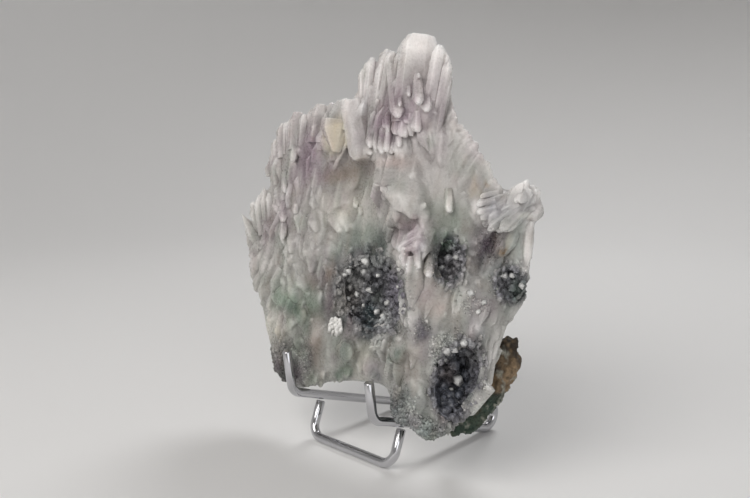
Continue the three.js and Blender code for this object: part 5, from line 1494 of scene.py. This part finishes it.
def build_rock():
    random = np.random.default_rng(21)
    points, triangles = arrays_from(frame["nodes"]["matrix_rind"].data)
    solids = Solids()
    solids.add(points, triangles)
    places, normals, _ = spots_on(points, triangles, ROCK_LUMPS, random)
    for place, normal in zip(places, normals):
        radius = random.uniform(1.2, 2.8)
        solids.add(*ball(place - normal * radius * 0.55 * MM, np.array([radius] * 3) * MM, np.eye(3), 6, 8))
    mesh = fused("rock", *solids.arrays(), (0.5) * MM, smooth=2, most=60_000)
    points, triangles = arrays_from(mesh)
    normals = normals_from(mesh)
    x, y, z = points.T / MM
    lift = (
        noise(x / 3.4, y / 3.4, z / 3.4, 81)
        - 0.9 * np.abs(noise(x / 1.5, y / 1.5, z / 1.5, 82)) + 0.5
    )
    points = points + normals * (lift * MM)[:, None]
    solids = Solids()
    solids.add(points, triangles)
    places, directions, _ = spots_on(points, triangles, ROCK_CRYSTALS, random)
    sizes = random.uniform(0.25, 0.55, ROCK_CRYSTALS) * MM
    solids.add(*tiny_crystals(places, directions, sizes, sizes * 0.7, random))
    mesh = mesh_from("matrix_rind_visual", *solids.arrays())
    points, _ = arrays_from(mesh)
    a, b, w = face_coordinates(points)
    brown, tan = (0.022, 0.016, 0.011), (0.150, 0.105, 0.062)
    green, pale = (0.018, 0.034, 0.024), (0.19, 0.19, 0.16)
    patch = noise(a / 5, b / 5, w / 5, 83) + 0.4 * noise(a / 1.6, b / 1.6, w / 1.6, 84)
    colour = np.tile(np.array(brown), (len(points), 1))
    mix_in(colour, tan, np.clip(0.5 + 1.6 * patch, 0, 1))
    patch = noise(a / 6, b / 6, w / 6, 85) + (32 - b) / 14
    mix_in(colour, green, np.clip(0.2 + 1.2 * patch, 0, 0.9))
    patch = noise(a / 2.6, b / 2.6, w / 2.6, 86) + 0.5 * noise(a, b, w, 87)
    mix_in(colour, pale, np.clip(1.8 * patch - 0.5, 0, 0.8))
    set_tint(mesh, colour)
    return add_object("host_rock", mesh)


# ---------------------------------------------------------------------------
# Stand
# ---------------------------------------------------------------------------

WIRE_RADIUS = 2.0
WIRE_SIDES = 36
BEND_RADIUS = 6.0
BEND_STEPS = 18
CHAMFER = 0.45
ARM_X = 24.6
HOOK_CORNER_Y = -10.8
HOOK_LEAN = math.radians(8.1)
HOOK_LENGTHS = {-1: 19.1, 1: 16.4}
ARM_SLOPE = math.radians(17.5)
ARM_END_Y = 70.0
BACK_LEAN = math.radians(17)
BACK_TOP_Z = 88.0
FOOT_LEG_ALONG_ARM = 18.0
LEG_END_SHARE = 1.15
SEAT_GAP = 0.3

REAR_TURN = math.pi / 2 + BACK_LEAN + ARM_SLOPE
REAR_CORNER_Z = WIRE_RADIUS + BEND_RADIUS - BEND_RADIUS * (
    math.cos(ARM_SLOPE) + math.tan(REAR_TURN / 2) * math.sin(ARM_SLOPE)
)


def arm_height(y):
    return REAR_CORNER_Z + (ARM_END_Y - y) * math.tan(ARM_SLOPE)


def wire_path(corners):
    """Points of a centre line through the corners, each rounded off."""
    corners = [Vector(corner) for corner in corners]
    path = [corners[0]]
    for before, corner, after in zip(corners, corners[1:], corners[2:]):
        arriving = (corner - before).normalized()
        leaving = (after - corner).normalized()
        half = arriving.angle(leaving) / 2
        start = corner - arriving * BEND_RADIUS * math.tan(half)
        centre = corner + (leaving - arriving).normalized() * BEND_RADIUS / math.cos(half)
        axis = arriving.cross(leaving).normalized()
        for step in range(BEND_STEPS + 1):
            path.append(centre + Matrix.Rotation(2 * half * step / BEND_STEPS, 3, axis) @ (start - centre))
    path.append(corners[-1])
    return path


def build_wire(name, corners):
    """A round wire along the corners, with chamfered ends."""
    path = wire_path(corners)
    tangents = []
    for i, place in enumerate(path):
        arriving = (place - path[max(0, i - 1)]).normalized()
        leaving = (path[min(len(path) - 1, i + 1)] - place).normalized()
        tangents.append((arriving + leaving).normalized())
    sections = [(path[0], tangents[0], WIRE_RADIUS - CHAMFER)]
    sections.append((path[0] + tangents[0] * CHAMFER, tangents[0], WIRE_RADIUS))
    sections += [(path[i], tangents[i], WIRE_RADIUS) for i in range(1, len(path) - 1)]
    sections.append((path[-1] - tangents[-1] * CHAMFER, tangents[-1], WIRE_RADIUS))
    sections.append((path[-1], tangents[-1], WIRE_RADIUS - CHAMFER))
    side = Vector((0, 0, 1)).cross(tangents[0])
    side = side.normalized() if side.length > 0.1 else Vector((1, 0, 0))
    points, faces = [], []
    for place, tangent, radius in sections:
        side = (side - tangent * side.dot(tangent)).normalized()
        other = tangent.cross(side)
        for turn in range(WIRE_SIDES):
            angle = turn / WIRE_SIDES * 2 * math.pi
            points.append((place + (side * math.cos(angle) + other * math.sin(angle)) * radius) * MM)
    for ring in range(len(sections) - 1):
        low, high = ring * WIRE_SIDES, (ring + 1) * WIRE_SIDES
        for turn in range(WIRE_SIDES):
            after = (turn + 1) % WIRE_SIDES
            faces.append((low + turn, low + after, high + after, high + turn))
    faces.append(tuple(reversed(range(WIRE_SIDES))))
    faces.append(tuple(range(len(points) - WIRE_SIDES, len(points))))
    mesh = bpy.data.meshes.new(name)
    mesh.from_pydata(points, [], faces)
    for polygon in mesh.polygons:
        polygon.use_smooth = len(polygon.vertices) == 4
    return add_object(name, mesh)


def side_corners(side):
    length = HOOK_LENGTHS[side]
    corner_z = arm_height(HOOK_CORNER_Y)
    back_top_y = ARM_END_Y - (BACK_TOP_Z - REAR_CORNER_Z) * math.tan(BACK_LEAN)
    return [
        (side * ARM_X, HOOK_CORNER_Y - length * math.sin(HOOK_LEAN), corner_z + length * math.cos(HOOK_LEAN)),
        (side * ARM_X, HOOK_CORNER_Y, corner_z),
        (side * ARM_X, ARM_END_Y, REAR_CORNER_Z),
        (side * ARM_X, back_top_y, BACK_TOP_Z),
    ]


def build_stand_wire():
    return build_wire("stand_wire_chrome", side_corners(-1) + side_corners(1)[::-1])


def build_foot_loop():
    leg_y = HOOK_CORNER_Y + FOOT_LEG_ALONG_ARM * math.cos(ARM_SLOPE)
    leg_z = arm_height(leg_y)
    lean = math.atan2(leg_y, leg_z - WIRE_RADIUS)
    reach = math.hypot(leg_y, leg_z - WIRE_RADIUS) - WIRE_RADIUS * LEG_END_SHARE - SEAT_GAP
    top_y, top_z = reach * math.sin(lean), WIRE_RADIUS + reach * math.cos(lean)
    return build_wire("foot_loop_chrome", [
        (-ARM_X, top_y, top_z), (-ARM_X, 0, WIRE_RADIUS), (ARM_X, 0, WIRE_RADIUS), (ARM_X, top_y, top_z),
    ])


# ---------------------------------------------------------------------------
# Materials
# ---------------------------------------------------------------------------

class Nodes:
    """Short calls to build a material's node tree around its Principled shader."""

    def __init__(self, name):
        self.material = bpy.data.materials.new(name)
        self.material.use_nodes = True
        self.tree = self.material.node_tree
        self.shader = self.tree.nodes["Principled BSDF"]

    def add(self, kind, **settings):
        node = self.tree.nodes.new(kind)
        for key, value in settings.items():
            setattr(node, key, value)
        return node

    def link(self, start, end):
        self.tree.links.new(start, end)

    def attribute(self, name, output="Color"):
        return self.add("ShaderNodeAttribute", attribute_name=name).outputs[output]

    def noise(self, scale, detail=3.0, roughness=0.5, stretch=(1, 1, 1)):
        place = self.add("ShaderNodeTexCoord").outputs["Object"]
        mapping = self.add("ShaderNodeMapping")
        mapping.inputs["Scale"].default_value = stretch
        self.link(place, mapping.inputs["Vector"])
        node = self.add("ShaderNodeTexNoise")
        node.inputs["Scale"].default_value = scale
        node.inputs["Detail"].default_value = detail
        node.inputs["Roughness"].default_value = roughness
        self.link(mapping.outputs["Vector"], node.inputs["Vector"])
        return node.outputs["Fac"]

    def ramp(self, value, low, high, low_in=0.0, high_in=1.0):
        node = self.add("ShaderNodeMapRange")
        node.inputs["From Min"].default_value = low_in
        node.inputs["From Max"].default_value = high_in
        node.inputs["To Min"].default_value = low
        node.inputs["To Max"].default_value = high
        self.link(value, node.inputs["Value"])
        return node.outputs["Result"]

    def scaled(self, colour, value):
        node = self.add("ShaderNodeVectorMath", operation="SCALE")
        self.link(colour, node.inputs[0])
        self.link(value, node.inputs["Scale"])
        return node.outputs["Vector"]

    def bump(self, height, strength, distance):
        node = self.add("ShaderNodeBump")
        node.inputs["Strength"].default_value = strength
        node.inputs["Distance"].default_value = distance
        self.link(height, node.inputs["Height"])
        self.link(node.outputs["Normal"], self.shader.inputs["Normal"])

    def feed(self, socket, value):
        self.link(value, self.shader.inputs[socket])

    def set(self, values):
        for socket, value in values.items():
            self.shader.inputs[socket].default_value = value


MIDDLE = (0.3, 0.7)              # the part of a noise's range that a mottle is stretched over


def tinted(name, mottle_noise, mottle, roughness_noise, roughness):
    """A material in the mesh's own tint, with a mottle and a roughness that each follow a noise."""
    nodes = Nodes(name)
    shade = nodes.ramp(nodes.noise(*mottle_noise), *mottle, *MIDDLE)
    nodes.feed("Base Color", nodes.scaled(nodes.attribute("tint"), shade))
    nodes.feed("Roughness", nodes.ramp(nodes.noise(*roughness_noise), *roughness, *MIDDLE))
    return nodes


def quartz_material():
    nodes = tinted("milky_quartz", (260, 3, 0.5), (0.94, 1.06), (900, 3), (0.18, 0.42))
    nodes.feed("Transmission Weight", nodes.ramp(nodes.attribute("clear", "Fac"), 0.0, 0.3))
    nodes.set({
        "Subsurface Weight": 1.0, "Subsurface Radius": (1.0, 0.98, 0.97), "Subsurface Scale": 0.0036,
        "IOR": 1.54,
    })
    nodes.bump(nodes.noise(1300, 3, 0.6, stretch=(1, 1, 0.22)), 0.3, 0.0005)
    return nodes.material


def druse_material():
    nodes = tinted("dark_druse", (500, 4, 0.6), (0.6, 1.5), (1200, 2), (0.22, 0.45))
    nodes.set({"IOR": 1.54})
    return nodes.material


def small_crystal_material():
    nodes = tinted("small_crystals", (900, 2), (0.85, 1.2), (1200, 2), (0.15, 0.4))
    nodes.set({"IOR": 1.54})
    return nodes.material


def white_material(name, low, high):
    """White crystal in shades from low to high, slightly see-through."""
    nodes = Nodes(name)
    mix = nodes.add("ShaderNodeMix", data_type="RGBA")
    mix.inputs["A"].default_value = (*low, 1)
    mix.inputs["B"].default_value = (*high, 1)
    nodes.link(nodes.ramp(nodes.noise(350, 2, 0.5), 0, 1, 0.35, 0.65), mix.inputs["Factor"])
    nodes.feed("Base Color", mix.outputs["Result"])
    nodes.feed("Roughness", nodes.ramp(nodes.noise(1200, 2), 0.2, 0.4, *MIDDLE))
    nodes.set({"Transmission Weight": 0.05, "IOR": 1.6})
    return nodes.material


def rock_material():
    nodes = tinted("host_rock", (700, 6, 0.7), (0.6, 1.5), (500, 4), (0.6, 0.95))
    nodes.bump(nodes.noise(900, 6, 0.7), 0.8, 0.0006)
    return nodes.material


def chrome_material():
    nodes = Nodes("polished_chrome")
    nodes.feed("Roughness", nodes.ramp(nodes.noise(160, 4, 0.6), 0.05, 0.16, 0.35, 0.75))
    nodes.set({"Base Color": (0.58, 0.58, 0.60, 1), "Metallic": 1.0})
    nodes.bump(nodes.noise(60, 3, 0.5), 0.08, 0.0004)
    return nodes.material


# ---------------------------------------------------------------------------
# The whole
# ---------------------------------------------------------------------------

def place_piece(piece, material, slot, *nodes):
    piece.data.materials.clear()
    piece.data.materials.append(material)
    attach(piece, "root")
    if nodes:
        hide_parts(*nodes)


add_camera()
add_stage()
add_light()

flower = build_flower(smooth_core())
place_piece(flower, quartz_material(), "quartz", "crystal_flower")
druse = druse_material()
skin = Front(*arrays_from(flower.data))
for crust_name in HOLLOWS:
    place_piece(build_crust(crust_name, skin), druse, "druse", crust_name)
place_piece(on_flower(flower, SPARKLING, np.random.default_rng(31)), small_crystal_material(), "quartz")
blocks = white_material("white_blocks", (0.45, 0.45, 0.45), (0.82, 0.82, 0.80))
calcite = white_material("white_calcite", (0.84, 0.83, 0.80), (0.94, 0.93, 0.91))
place_piece(build_blocks(flower), blocks, "quartz")
place_piece(build_calcite(flower), calcite, "quartz")
place_piece(build_rock(), rock_material(), "rock", "matrix_rind")
chrome = chrome_material()
place_piece(build_stand_wire(), chrome, "stand", "stand_wire")
place_piece(build_foot_loop(), chrome, "stand", "foot_loop")
